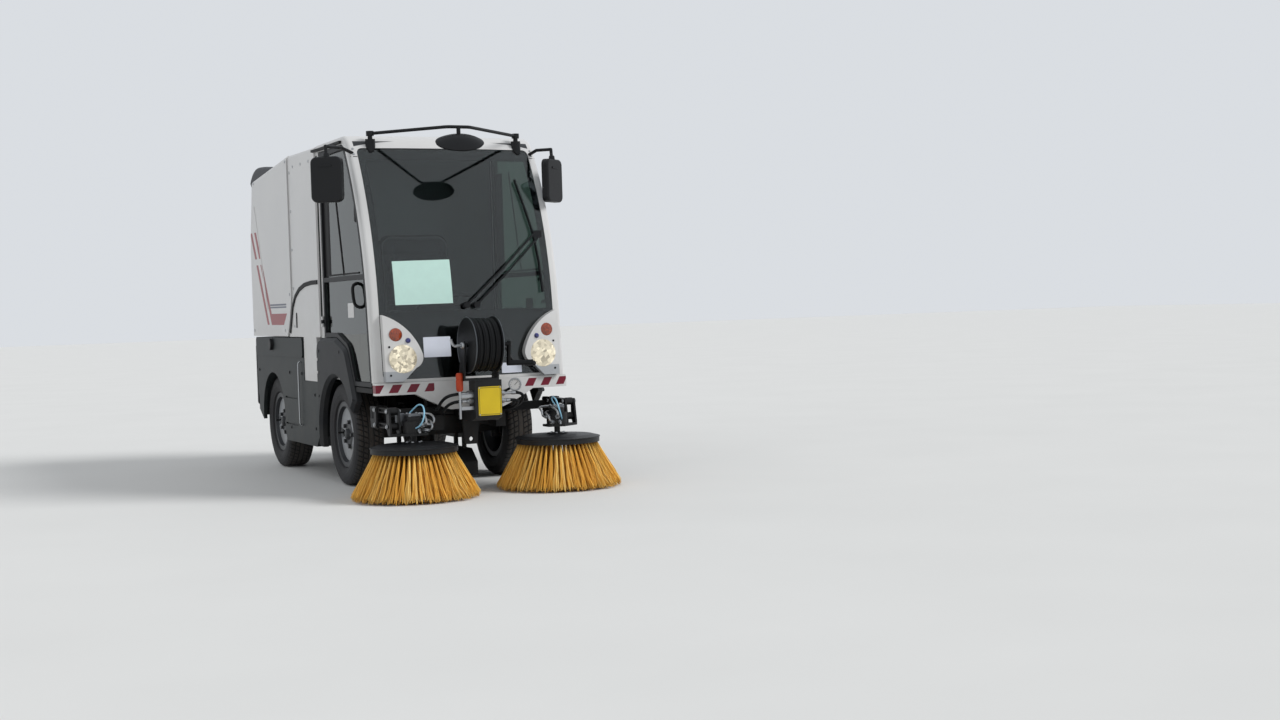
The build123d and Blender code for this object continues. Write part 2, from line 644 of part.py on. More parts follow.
# Chassis: two rails with cross members, uprights and the tail's ears for the tip hinge
tow_y = rail_rear + 50.0     # towing eye at the tail
tow_base = 340.0
tow_plate = 25.0
rear_eye = 13.0
cross_stations = (-900.0, -640.0, 60.0, 300.0, barrel_y - 56, rear_axle + 235, tip_axis_y - 20)
with BuildPart() as chassis_frame:
    for side in (-1, 1):
        with BuildSketch(Plane.YZ.offset(side * rail_inner)):
            with BuildLine():
                Polyline((rail_front, rail_base), (rail_rear, rail_base), (rail_rear, rail_top), (rail_front, rail_top),
                         close=True)
            make_face()
            for station, width, top in (
                    (-900.0, 60.0, front_box_base - seat_gap), (-190.0, 60.0, cab_base - seat_gap),
                    (150.0, 60.0, cowl_base - seat_gap), (tip_axis_y, 52.0, tip_axis_z)):
                with Locations((station, (rail_top + top) / 2 - 5)):
                    Rectangle(width, top - rail_top + 10)
            with Locations((tip_axis_y, tip_axis_z)):
                Circle(26)
                Circle(tip_pin + pin_gap, mode=Mode.SUBTRACT)
        extrude(amount=side * (rail_outer - rail_inner))
    for station in cross_stations:
        with BuildSketch(Plane.YZ.offset(-rail_inner - 2)):
            with Locations((station, (rail_base + rail_top) / 2)):
                Rectangle(44, rail_top - rail_base - 20)
        extrude(amount=2 * rail_inner + 4)
    for side in (-1, 1):
        with BuildSketch(Plane.YZ.offset(side * lug_inner)):
            with Locations((barrel_y, barrel_z)):
                Circle(26)
            with Locations((barrel_y - 20, barrel_z)):
                Rectangle(40, 40)
        extrude(amount=side * 12)
    with Locations((0, barrel_y, barrel_z)):
        Cylinder(cylinder_pin, 2 * lug_inner + 24, rotation=(0, 90, 0))
    for side in (-1, 1):
        for station in (300.0, tank_rear - 74):
            with BuildSketch(Plane.XZ.offset(-station - 20)):
                with Locations((side * (rail_outer + tank_inner - 1 - seat_gap) / 2, rail_top - 20)):
                    Rectangle(tank_inner - rail_outer + 1 - seat_gap, 30)
            extrude(amount=40)
    with BuildSketch(Plane.XY.offset(tow_base)):
        with Locations((0, (rail_rear - 60 + tow_y) / 2)):
            Rectangle(90, tow_y - rail_rear + 60)
        with Locations((0, tow_y)):
            Circle(45)
            Circle(rear_eye, mode=Mode.SUBTRACT)
    extrude(amount=tow_plate)
chassis_frame.part.label = "chassis_frame"

engine_top = 770.0
with BuildPart() as engine_block:
    with BuildSketch(Plane.XY.offset(rail_top + seat_gap)):
        with Locations((0, 560)):
            RectangleRounded(440, 460, 30)
    extrude(amount=engine_top - rail_top)
engine_block.part.label = "engine_block"

# Axles, with the front one's eyes for the kingpins
axle_depth = 72.0
axle_top = rail_base - seat_gap
boss_radius = 24.0
boss_half = 46.0
kingpin_core = 10.0
with BuildPart() as front_axle_beam:
    with BuildSketch(Plane.XZ.offset(-front_axle - 34)):
        with BuildLine():
            Polyline((-kingpin_line + 8, wheel_radius - 30), (-260, axle_top - axle_depth), (260, axle_top - axle_depth),
                     (kingpin_line - 8, wheel_radius - 30), (kingpin_line - 8, wheel_radius + 30),
                     (300, axle_top), (-300, axle_top), (-kingpin_line + 8, wheel_radius + 30), close=True)
        make_face()
    extrude(amount=68)
    for side in (-1, 1):
        with BuildSketch(Plane.XY.offset(wheel_radius - boss_half)):
            with Locations((side * kingpin_line, front_axle)):
                Circle(boss_radius)
        extrude(amount=2 * boss_half)
        with BuildSketch(Plane.XY.offset(wheel_radius - boss_half - 1)):
            with Locations((side * kingpin_line, front_axle)):
                Circle(kingpin_core + pin_gap)
        extrude(amount=2 * boss_half + 2, mode=Mode.SUBTRACT)
front_axle_beam.part.label = "front_axle"

stub_end = track_half + 50.0
with BuildPart() as rear_axle_beam:
    with BuildSketch(Plane.XZ.offset(-rear_axle - 34)):
        with Locations((0, axle_top - axle_depth / 2)):
            Rectangle(2 * (track_half - rim_width / 2 - 20), axle_depth)
    extrude(amount=68)
    with Locations((0, rear_axle, wheel_radius)):
        Cylinder(stub_radius + 12, 2 * (track_half - 22), rotation=(0, 90, 0))
        Cylinder(stub_radius, 2 * stub_end, rotation=(0, 90, 0))
rear_axle_beam.part.label = "rear_axle"

# Knuckles: two ears on the kingpin and a stub for the wheel
ear = 20.0
for name, side in sides:
    with BuildPart() as knuckle:
        for level in (wheel_radius + boss_half + seat_gap, wheel_radius - boss_half - seat_gap - ear):
            with BuildSketch(Plane.XY.offset(level)):
                with Locations((side * kingpin_line, front_axle)):
                    Circle(boss_radius)
                with Locations((side * (kingpin_line + 20), front_axle)):
                    Rectangle(40, 2 * boss_radius)
            extrude(amount=ear)
        with BuildSketch(Plane.YZ.offset(side * (kingpin_line + boss_radius + 4))):
            with Locations((front_axle, wheel_radius)):
                Rectangle(2 * boss_radius, 2 * (boss_half + ear + seat_gap))
        extrude(amount=side * 14)
        with BuildSketch(Plane.XY.offset(wheel_radius - boss_half - ear)):
            with Locations((side * kingpin_line, front_axle)):
                Circle(kingpin_core)
        extrude(amount=2 * (boss_half + ear))
        with BuildSketch(Plane.YZ.offset(side * (kingpin_line + boss_radius + 6))):
            with Locations((front_axle, wheel_radius)):
                Circle(stub_radius)
        extrude(amount=side * (stub_end - kingpin_line - boss_radius - 6))
    knuckle.part.label = f"knuckle_{name}"
    export_step(knuckle.part, f"parts/knuckle_{name}.step")

# Wheels: a tyre on a rim whose disc has windows between its spokes
disc_out = 26.0              # inner face of the rim's disc outboard of the wheel's middle
disc_plate = 12.0
flange = 8.0
tyre_section = (             # offset from the middle plane, radius
    (rim_width / 2 - flange - seat_gap, bead_radius + seat_gap),
    (rim_width / 2 - flange - seat_gap, rim_lip + seat_gap),
    (tyre_width / 2 - 9, rim_lip + 8),
    (tyre_width / 2 - 1, wheel_radius - 68),
    (tyre_width / 2, wheel_radius - 48),
    (tyre_width / 2 - 3, wheel_radius - 26),
    (tyre_width / 2 - 11, wheel_radius - 8),
    (tyre_width / 2 - 22, wheel_radius - 2),
    (tyre_width / 2 - 48, wheel_radius),
)
for place, station in (("front", front_axle), ("rear", rear_axle)):
    for name, side in sides:
        hub = Plane(origin=(side * track_half, station, wheel_radius), x_dir=(side, 0, 0), z_dir=(0, -side, 0))
        spin = Axis(hub.origin, (1, 0, 0))
        with BuildPart() as tyre:
            with BuildSketch(hub):
                with BuildLine():
                    Polyline(*tyre_section, *[(-across, radius) for across, radius in reversed(tyre_section)],
                             close=True)
                make_face()
            revolve(axis=spin)
        tyre.part.label = f"tyre_{place}_{name}"
        export_step(tyre.part, f"parts/tyre_{place}_{name}.step")

        with BuildPart() as rim:
            with BuildSketch(hub):
                with BuildLine():
                    Polyline(
                        (-rim_width / 2, bead_radius - rim_wall), (-rim_width / 2, rim_lip),
                        (-rim_width / 2 + flange, rim_lip), (-rim_width / 2 + flange, bead_radius),
                        (rim_width / 2 - flange, bead_radius), (rim_width / 2 - flange, rim_lip),
                        (rim_width / 2, rim_lip), (rim_width / 2, bead_radius - rim_wall),
                        (disc_out + disc_plate + 6, bead_radius - rim_wall - 6),
                        (disc_out + disc_plate, 92), (disc_out + disc_plate + 8, hub_radius + 8),
                        (disc_out + disc_plate + 8, stub_radius + pin_gap),
                        (disc_out - 16, stub_radius + pin_gap), (disc_out - 16, hub_radius),
                        (disc_out, hub_radius + 6), (disc_out, bead_radius - rim_wall), close=True)
                make_face()
            revolve(axis=spin)
            windows = Plane(origin=hub.origin + hub.x_dir * (disc_out - 4), x_dir=(0, 1, 0), z_dir=(side, 0, 0))
            with BuildSketch(windows):
                with PolarLocations(0, rim_windows):
                    with BuildLine():
                        Polyline((68, -7), (144, -32), (150, 0), (144, 32), (68, 7), close=True)
                    make_face()
            extrude(amount=disc_plate + 20, mode=Mode.SUBTRACT)
        rim.part.label = f"rim_{place}_{name}"
        export_step(rim.part, f"parts/rim_{place}_{name}.step")

# Hopper: a container open at its tail, with the tip hinge's lugs and pins under it
top_slope = (top_rear - top_front) / (hopper_brow - hopper_front)
with BuildPart() as hopper_shell:
    with BuildSketch(Plane.YZ.offset(-hopper_half)):
        with BuildLine():
            up = Polyline((hopper_front, seam_turn), (hopper_front, top_front), (hopper_brow, top_rear),
                          (hopper_brow + 36, 1701), (hopper_brow + 84, 1523), (hopper_tail, 1400),
                          (hopper_tail, hopper_base), (seam_foot + swing_gap + 4, hopper_base))
            ThreePointArc(up @ 1, (cowl_rear + 42 + swing_gap + 2, seam_turn - 128 + 4), up @ 0)
        make_face()
    extrude(amount=2 * hopper_half)
    fillet(hopper_shell.edges().filter_by(
        lambda e: abs(abs(e.center().X) - hopper_half) < 0.1 and e.length > 500 and e.center().Z > 1500
        and abs(e.center().Y - hopper_front) > 5), edge_round)
    with BuildSketch(Plane.YZ.offset(-hopper_half + hopper_wall)):
        with BuildLine():
            Polyline((hopper_front + hopper_wall, seam_turn + 10), (hopper_front + hopper_wall, top_front - hopper_wall),
                     (hopper_brow - hopper_wall, top_rear - hopper_wall), (hopper_brow - 4, 1700),
                     (hopper_tail + 20, 1590), (hopper_tail + 20, gate_foot),
                     (hopper_tail - hopper_wall - 20, hopper_base + hopper_wall),
                     (seam_foot + hopper_wall + 30, hopper_base + hopper_wall), close=True)
        make_face()
    extrude(amount=2 * (hopper_half - hopper_wall), mode=Mode.SUBTRACT)
    for side in (-1, 1):
        with BuildSketch(Plane.YZ.offset(side * (rail_outer + seat_gap))):
            with Locations((tip_axis_y, tip_axis_z)):
                Circle(24)
            with Locations((tip_axis_y - 4, (tip_axis_z + hopper_base + 2) / 2)):
                Rectangle(40, hopper_base + 2 - tip_axis_z)
        extrude(amount=side * 24)
        with BuildSketch(Plane.YZ.offset(side * (rail_inner - 6))):
            with Locations((tip_axis_y, tip_axis_z)):
                Circle(tip_pin)
        extrude(amount=side * (rail_outer - rail_inner + 20))
        with BuildSketch(Plane.YZ.offset(side * (lug_inner + 2))):
            with Locations((rod_y, rod_z)):
                Circle(22)
            with Locations((rod_y, (rod_z + hopper_base + 2) / 2)):
                Rectangle(44, hopper_base + 2 - rod_z)
        extrude(amount=side * 12)
        with BuildSketch(Plane.YZ.offset(side * (360 + 18 + seat_gap))):
            with BuildLine():
                Polyline((gate_axis_y, gate_axis_z + 10), (hopper_brow + 38, gate_axis_z + 20),
                         (hopper_brow + 46, gate_axis_z - 16), (gate_axis_y, gate_axis_z - 10), close=True)
            make_face()
            with Locations((gate_axis_y, gate_axis_z)):
                Circle(gate_barrel)
        extrude(amount=side * (38 - 2 * seat_gap))
        with BuildSketch(Plane.YZ.offset(side * 356)):
            with Locations((gate_axis_y, gate_axis_z)):
                Circle(gate_pin)
        extrude(amount=side * 84)
    with Locations((0, rod_y, rod_z)):
        Cylinder(cylinder_pin - 2, 2 * lug_inner + 28, rotation=(0, 90, 0))
hopper_shell.part.label = "hopper_shell"

with BuildPart() as hopper_hood:
    hood_lift = top_front + top_slope * (hood_front - hopper_front) + seat_gap
    with BuildSketch(Plane.YZ.offset(-hood_half)):
        with BuildLine():
            Polyline((hopper_brow + 0.5, top_rear + seat_gap), (hood_front, hood_lift), (hood_front + 30, hood_lift + 22))
            rise = ThreePointArc((hood_front + 30, hood_lift + 22), (hopper_tail - 244, hood_crown - 12),
                                 (hopper_tail - 50, hood_crown))
            TangentArc(rise @ 1, (hood_tip, hood_crown - 66), tangent=rise % 1)
            Polyline((hood_tip, hood_crown - 66), (hood_tip - 8, hood_crown - 96), (hopper_brow + 62, 1716),
                     (hopper_brow + 33.6, 1716), (hopper_brow + 0.5, top_rear + seat_gap))
        make_face()
    extrude(amount=2 * hood_half)
    fillet(hopper_hood.edges().filter_by(GeomType.CIRCLE), hood_round)
    window_pitch = (2 * hood_half - 104) / 6
    with BuildSketch(Plane.XZ.offset(-hood_tip - 10)):
        with GridLocations(window_pitch, 0, 6, 1):
            with Locations((0, hood_crown - 151)):
                RectangleRounded(window_pitch - 30, 120, 20)
    extrude(amount=90, mode=Mode.SUBTRACT)
hopper_hood.part.label = "hopper_hood"

# Tailgate hung from the hopper's tail, bent to follow it
gate_line = (
    (hopper_tail + swing_gap, gate_foot), (hopper_tail + swing_gap, 1401),
    (hopper_brow + 84 + swing_gap + 1, 1525), (hopper_brow + 58 + swing_gap + 2, 1622),
)
with BuildPart() as tailgate:
    with BuildSketch(Plane.YZ.offset(-gate_half)):
        with BuildLine():
            Polyline(*gate_line, *[(y + gate_thick, z + 4) for y, z in reversed(gate_line)], close=True)
        make_face()
    extrude(amount=2 * gate_half)
    with BuildSketch(Plane.XZ.offset(-hopper_tail - swing_gap - gate_thick)):
        with GridLocations(gate_half, 0, 2, 1):
            with Locations((0, (gate_foot + 1380) / 2)):
                RectangleRounded(gate_half - 60, 1380 - gate_foot - 90, 30)
    extrude(amount=8, mode=Mode.SUBTRACT)
    for side in (-1, 1):
        for across in (360, 416):
            with BuildSketch(Plane.YZ.offset(side * across)):
                with Locations((gate_axis_y, gate_axis_z)):
                    Circle(gate_barrel)
                with Locations((gate_axis_y + 1, gate_axis_z - 24)):
                    Rectangle(18, 48)
            extrude(amount=side * 18)
        with BuildSketch(Plane.YZ.offset(side * 350)):
            with Locations((gate_axis_y, gate_axis_z)):
                Circle(gate_pin + pin_gap)
        extrude(amount=side * 100, mode=Mode.SUBTRACT)
tailgate.part.label = "tailgate"

# Lift cylinder between the chassis and the hopper's lugs
cylinder_foot = Vector(0, barrel_y, barrel_z)
cylinder_head = Vector(0, rod_y, rod_z)
cylinder_line = (cylinder_head - cylinder_foot).normalized()
cylinder_length = (cylinder_head - cylinder_foot).length
rod_length = 70 + rod_stroke + 40   # 70 shows at rest, 40 stays guided at full stroke
with BuildPart() as lift_barrel:
    with BuildSketch(Plane(origin=cylinder_foot + cylinder_line * 58, x_dir=(1, 0, 0), z_dir=cylinder_line)):
        Circle(barrel_radius)
    extrude(amount=cylinder_length - 58 - 70)
    with BuildSketch(Plane(origin=cylinder_foot + cylinder_line * 14, x_dir=(1, 0, 0), z_dir=cylinder_line)):
        Rectangle(2 * lug_inner - 6, 36)
    extrude(amount=50)
    with BuildSketch(Plane.YZ.offset(-lug_inner + 1)):
        with Locations((barrel_y, barrel_z)):
            Circle(26)
    extrude(amount=2 * lug_inner - 2)
    with BuildSketch(Plane(origin=cylinder_head - cylinder_line * (rod_length + 20), x_dir=(1, 0, 0),
                           z_dir=cylinder_line)):
        Circle(rod_radius + pin_gap)
    extrude(amount=rod_length + 20, mode=Mode.SUBTRACT)
    with BuildSketch(Plane.YZ.offset(-lug_inner)):
        with Locations((barrel_y, barrel_z)):
            Circle(cylinder_pin + pin_gap)
    extrude(amount=2 * lug_inner, mode=Mode.SUBTRACT)
lift_barrel.part.label = "lift_barrel"

with BuildPart() as lift_rod:
    with BuildSketch(Plane(origin=cylinder_head - cylinder_line * rod_length, x_dir=(1, 0, 0),
                           z_dir=cylinder_line)):
        Circle(rod_radius)
    extrude(amount=rod_length - rod_eye - 2)
    with BuildSketch(Plane.YZ.offset(-lug_inner + 2)):
        with Locations((rod_y, rod_z)):
            Circle(rod_eye + 9)
    extrude(amount=2 * lug_inner - 4)
    with BuildSketch(Plane.YZ.offset(-lug_inner)):
        with Locations((rod_y, rod_z)):
            Circle(rod_eye)
    extrude(amount=2 * lug_inner, mode=Mode.SUBTRACT)
lift_rod.part.label = "lift_rod"

for piece in (chassis_frame, engine_block, front_axle_beam, rear_axle_beam, hopper_shell, hopper_hood,
              tailgate, lift_barrel, lift_rod):
    export_step(piece.part, f"parts/{piece.part.label}.step")

# Front carrier: the cross beam with an eye for each brush kingpin, and the middle box
beam_base = rail_top + seat_gap
beam_top = beam_base + 44.0
carrier_half = 75.0
front_eye = 12.0
carrier_front = -1330.0
carrier_base = 384.0
carrier_top = bumper_drop - 4.0
post_front = carrier_front
post_rear = nose_front - 110.0
post_top = 600.0
with BuildPart() as front_carrier:
    with BuildSketch(Plane.XY.offset(beam_base)):
        with Locations((0, kingpin_y)):
            Rectangle(2 * kingpin_x, 54)
        with Locations((-kingpin_x, kingpin_y), (kingpin_x, kingpin_y)):
            Circle(34)
            Circle(kingpin_radius + pin_gap, mode=Mode.SUBTRACT)
    extrude(amount=beam_top - beam_base)
    with BuildSketch(Plane.YZ.offset(-carrier_half)):
        with BuildLine():
            Polyline((kingpin_y - 20, beam_base), (kingpin_y - 20, carrier_top), (post_rear, carrier_top),
                     (post_rear, post_top), (post_front, post_top), (post_front, carrier_base + 20),
                     (post_front + 60, carrier_base), (kingpin_y - 80, carrier_base), close=True)
        make_face()
    extrude(amount=2 * carrier_half)
    with BuildSketch(Plane.XZ.offset(-kingpin_y + 70)):
        with BuildLine():
            Polyline((-50, carrier_base + 4), (-34, 244), (34, 244), (50, carrier_base + 4), close=True)
        make_face()
        with Locations((0, 272)):
            Circle(front_eye, mode=Mode.SUBTRACT)
    extrude(amount=16)
front_carrier.part.label = "front_carrier"

# Hose reel: a frame with two cheeks, and the drum with its wound hose and crank
cheek_half = reel_half + 14
with BuildPart() as reel_frame:
    with BuildSketch(Plane.XY.offset(post_top + seat_gap)):
        with Locations((reel_x, (post_front + post_rear) / 2)):
            Rectangle(2 * cheek_half + 16, post_rear - post_front)
    extrude(amount=10)
    for side in (-1, 1):
        with BuildSketch(Plane.YZ.offset(reel_x + side * cheek_half)):
            with BuildLine():
                Polyline((post_front, post_top + 5), (post_rear, post_top + 5), (reel_y + 22, reel_z + 6),
                         (reel_y - 22, reel_z + 6), close=True)
            make_face()
            with Locations((reel_y, reel_z)):
                Circle(24)
                Circle(10 + pin_gap, mode=Mode.SUBTRACT)
        extrude(amount=side * 8)
reel_frame.part.label = "reel_frame"

turns = 4
turn_pitch = (2 * reel_half - 20) / turns
with BuildPart() as hose_reel:
    with BuildSketch(Plane(origin=(reel_x, reel_y, reel_z), x_dir=(1, 0, 0), z_dir=(0, -1, 0))):
        with BuildLine():
            drum = Polyline((-reel_half, 0), (-reel_half, reel_radius), (-reel_half + 8, reel_radius),
                            (-reel_half + 10, reel_radius - 18))
            edge = drum @ 1
            for number in range(turns):
                start = -reel_half + 10 + number * turn_pitch
                edge = ThreePointArc((start, reel_radius - 18), (start + turn_pitch / 2, reel_radius - 8),
                                     (start + turn_pitch, reel_radius - 18))
            Polyline(edge @ 1, (reel_half - 8, reel_radius), (reel_half, reel_radius), (reel_half, 0),
                     (-reel_half, 0))
        make_face()
    revolve(axis=Axis((0, reel_y, reel_z), (1, 0, 0)))
    crank_x = reel_x + cheek_half + 72
    with Locations(((crank_x + reel_x - cheek_half - 20) / 2, reel_y, reel_z)):
        Cylinder(10, crank_x - reel_x + cheek_half + 20, rotation=(0, 90, 0))
    add(bar((crank_x - 2, reel_y, reel_z + 14), (crank_x + 6, reel_y + 34, reel_z - 112), 22, 18,
            across=(0, 1, 0.3)))
    with Locations((crank_x + 71, reel_y + 32, reel_z - 104)):
        Cylinder(14, 146, rotation=(0, 90, 0))
hose_reel.part.label = "hose_reel"

# Brush gear on each side
head_plate = 12.0
for name, side in sides:
    cx = side * kingpin_x
    clevis_in = arm_half + 2
    with BuildPart() as brush_bracket:
        for across in (clevis_in, -clevis_in - cheek):
            with BuildSketch(Plane.YZ.offset(cx + across)):
                with BuildLine():
                    Polyline((arm_root - 16, lower_pivot - 16), (kingpin_y + 20, lower_pivot - 16),
                             (kingpin_y + 20, beam_base - seat_gap), (kingpin_y - 37, beam_base - seat_gap),
                             (kingpin_y - 37, beam_top + seat_gap), (kingpin_y + 20, beam_top + seat_gap),
                             (kingpin_y + 20, beam_top + 20), (kingpin_y - 20, upper_pivot + 18),
                             (arm_root - 16, upper_pivot + 18), close=True)
                make_face()
            extrude(amount=cheek)
        for level, depth in ((beam_base - seat_gap, -14), (beam_top + seat_gap, 14)):
            with BuildSketch(Plane.XY.offset(level)):
                with Locations((cx, kingpin_y - 2)):
                    Rectangle(2 * (clevis_in + cheek), 60)
                with Locations((cx, kingpin_y)):
                    Circle(30)
            extrude(amount=depth)
        with Locations((cx, kingpin_y, (beam_base + beam_top) / 2)):
            Cylinder(kingpin_radius, beam_top - beam_base + 30)
        with Locations((cx, arm_root, lower_pivot), (cx, arm_root, upper_pivot)):
            Cylinder(arm_pin, 2 * (clevis_in + cheek) + 8, rotation=(0, 90, 0))
    brush_bracket.part.label = f"brush_bracket_{name}"
    export_step(brush_bracket.part, f"parts/brush_bracket_{name}.step")

    for which, pivot in (("lower", lower_pivot), ("upper", upper_pivot)):
        with BuildPart() as arm:
            with BuildSketch(Plane.YZ.offset(cx - arm_half)):
                with Locations((arm_root, pivot), (arm_tip, pivot)):
                    Circle(eye_radius)
                with Locations(((arm_root + arm_tip) / 2, pivot)):
                    Rectangle(arm_root - arm_tip, 26)
                with Locations((arm_root, pivot), (arm_tip, pivot)):
                    Circle(arm_pin + pin_gap, mode=Mode.SUBTRACT)
            extrude(amount=2 * arm_half)
            for inward in (-1, 1):
                with BuildSketch(Plane.YZ.offset(cx + inward * 7)):
                    with Locations(((arm_root + arm_tip) / 2, pivot)):
                        RectangleRounded(arm_root - arm_tip - 2 * eye_radius - 16, 14, 6)
                extrude(amount=inward * 20, mode=Mode.SUBTRACT)
        arm.part.label = f"brush_{which}_arm_{name}"
        export_step(arm.part, f"parts/brush_{which}_arm_{name}.step")

    with BuildPart() as brush_head:
        for across in (clevis_in, -clevis_in - cheek):
            with BuildSketch(Plane.YZ.offset(cx + across)):
                with BuildLine():
                    Polyline((arm_tip + 18, lower_pivot - 14), (arm_tip + 18, upper_pivot + 16),
                             (arm_tip - 20, upper_pivot + 16), (brush_y + 10, motor_base + head_plate + 10),
                             (brush_y + 10, motor_base), (arm_tip - 6, motor_base), close=True)
                make_face()
            extrude(amount=cheek)
        with Locations((cx, arm_tip, lower_pivot), (cx, arm_tip, upper_pivot)):
            Cylinder(arm_pin, 2 * (clevis_in + cheek) + 8, rotation=(0, 90, 0))
        with BuildSketch(Plane.XY.offset(motor_base)):
            with BuildLine():
                Polyline((cx + side * (clevis_in + cheek), arm_tip - 8), (cx + side * (clevis_in + cheek), brush_y + 10),
                         (side * (brush_x + 20), brush_y - 62), (side * (brush_x - 66), brush_y - 40),
                         (side * (brush_x - 66), brush_y + 44), (cx - side * (clevis_in + cheek), arm_tip - 8),
                         close=True)
            make_face()
        extrude(amount=head_plate)
        with BuildSketch(Plane.XY.offset(motor_base)):
            with Locations((side * brush_x, brush_y)):
                Circle(motor_radius)
        extrude(amount=motor_top - motor_base - 26)
        with BuildSketch(Plane.XY.offset(motor_base)):
            with Locations((side * brush_x, brush_y)):
                Circle(motor_radius - 14)
        extrude(amount=motor_top - motor_base)
        with BuildSketch(Plane.XY.offset(disc_top - 24)):
            with Locations((side * brush_x, brush_y)):
                Circle(shaft_radius)
        extrude(amount=motor_base - disc_top + 30)
    brush_head.part.label = f"brush_head_{name}"
    export_step(brush_head.part, f"parts/brush_head_{name}.step")

    spin_plane = Plane(origin=(side * brush_x, brush_y, 0), x_dir=(side, 0, 0), z_dir=(0, -side, 0))
    spin_axis = Axis(spin_plane.origin, (0, 0, 1))
    rise = spin_plane.y_dir.Z
    with BuildPart() as brush_disc:
        with BuildSketch(spin_plane):
            with BuildLine():
                Polyline((shaft_radius + pin_gap, rise * (disc_top + 6)), (50, rise * (disc_top + 6)),
                         (64, rise * disc_top), (disc_radius - 40, rise * (disc_top - 6)),
                         (disc_radius, rise * (disc_top - 16)), (disc_radius, rise * (disc_top - disc_thick)),
                         (130, rise * (disc_top - disc_thick)), (120, rise * (disc_top - 26)),
                         (shaft_radius + pin_gap, rise * (disc_top - 26)), close=True)
            make_face()
        revolve(axis=spin_axis)
    brush_disc.part.label = f"brush_disc_{name}"
    export_step(brush_disc.part, f"parts/brush_disc_{name}.step")

    with BuildPart() as bristles:
        with BuildSketch(spin_plane):
            with BuildLine():
                Polyline((140, rise * (disc_top - disc_thick - seat_gap)),
                         (disc_radius - 4, rise * (disc_top - disc_thick - seat_gap)),
                         (bristle_reach, rise * bristle_floor), (bristle_reach - 90, rise * bristle_floor),
                         close=True)
            make_face()
        revolve(axis=spin_axis)
    bristles.part.label = f"bristles_{name}"
    export_step(bristles.part, f"parts/bristles_{name}.step")

# Suction nozzle hung under the rails between the front wheels, with its pipe up to the cowl
nozzle_front = -560.0
nozzle_rear = -150.0
nozzle_half = 215.0
nozzle_base = 26.0
nozzle_top = 170.0
nozzle_skin = 14.0
pipe_radius = 68.0
pipe_wall = 4.0
pipe_foot = nozzle_rear - 92.0
hanger = 26.0
nozzle_lines = (
    (nozzle_front, nozzle_base), (nozzle_rear, nozzle_base), (nozzle_rear, 120.0),
    (nozzle_rear - 22, nozzle_top), (nozzle_front + 90, nozzle_top), (nozzle_front, 100.0),
)
with BuildPart() as suction_nozzle:
    with BuildSketch(Plane.YZ.offset(-nozzle_half)):
        with BuildLine():
            Polyline(*nozzle_lines, close=True)
        make_face()
    extrude(amount=2 * nozzle_half)
    with BuildSketch(Plane.YZ.offset(-nozzle_half + nozzle_skin)):
        with BuildLine():
            Polyline((nozzle_front + nozzle_skin, nozzle_base - 1), (nozzle_rear - nozzle_skin, nozzle_base - 1),
                     (nozzle_rear - nozzle_skin, 117), (nozzle_rear - 32, nozzle_top - nozzle_skin),
                     (nozzle_front + 95, nozzle_top - nozzle_skin), (nozzle_front + nozzle_skin, 93), close=True)
        make_face()
    extrude(amount=2 * (nozzle_half - nozzle_skin), mode=Mode.SUBTRACT)
    for side in (-1, 1):
        with BuildSketch(Plane.YZ.offset(side * (rail_inner + 14))):
            for station in (front_axle - 72, front_axle + 66):
                with Locations((station, (nozzle_top + rail_base - seat_gap) / 2 - 2)):
                    Rectangle(hanger, rail_base - seat_gap - nozzle_top + 4)
        extrude(amount=side * 20)
    with BuildSketch(Plane.XY.offset(nozzle_top - 2)):
        with Locations((0, pipe_foot)):
            Circle(pipe_radius + 16)
    extrude(amount=10)
    with BuildSketch(Plane.XY.offset(nozzle_top - nozzle_skin - 2)):
        with Locations((0, pipe_foot)):
            Circle(pipe_radius - pipe_wall)
    extrude(amount=nozzle_skin + 20, mode=Mode.SUBTRACT)
suction_nozzle.part.label = "suction_nozzle"

with BuildPart() as suction_pipe:
    with BuildLine() as pipe_line:
        FilletPolyline((0, pipe_foot, nozzle_top + 8 + seat_gap), (0, pipe_foot, 300), (0, 60, 610),
                       (0, 60, cowl_base - seat_gap), radius=110)
    with BuildSketch(Plane.XY.offset(nozzle_top + 8 + seat_gap)):
        with Locations((0, pipe_foot)):
            Circle(pipe_radius)
            Circle(pipe_radius - pipe_wall, mode=Mode.SUBTRACT)
    sweep(path=pipe_line.wires()[0])
suction_pipe.part.label = "suction_pipe"

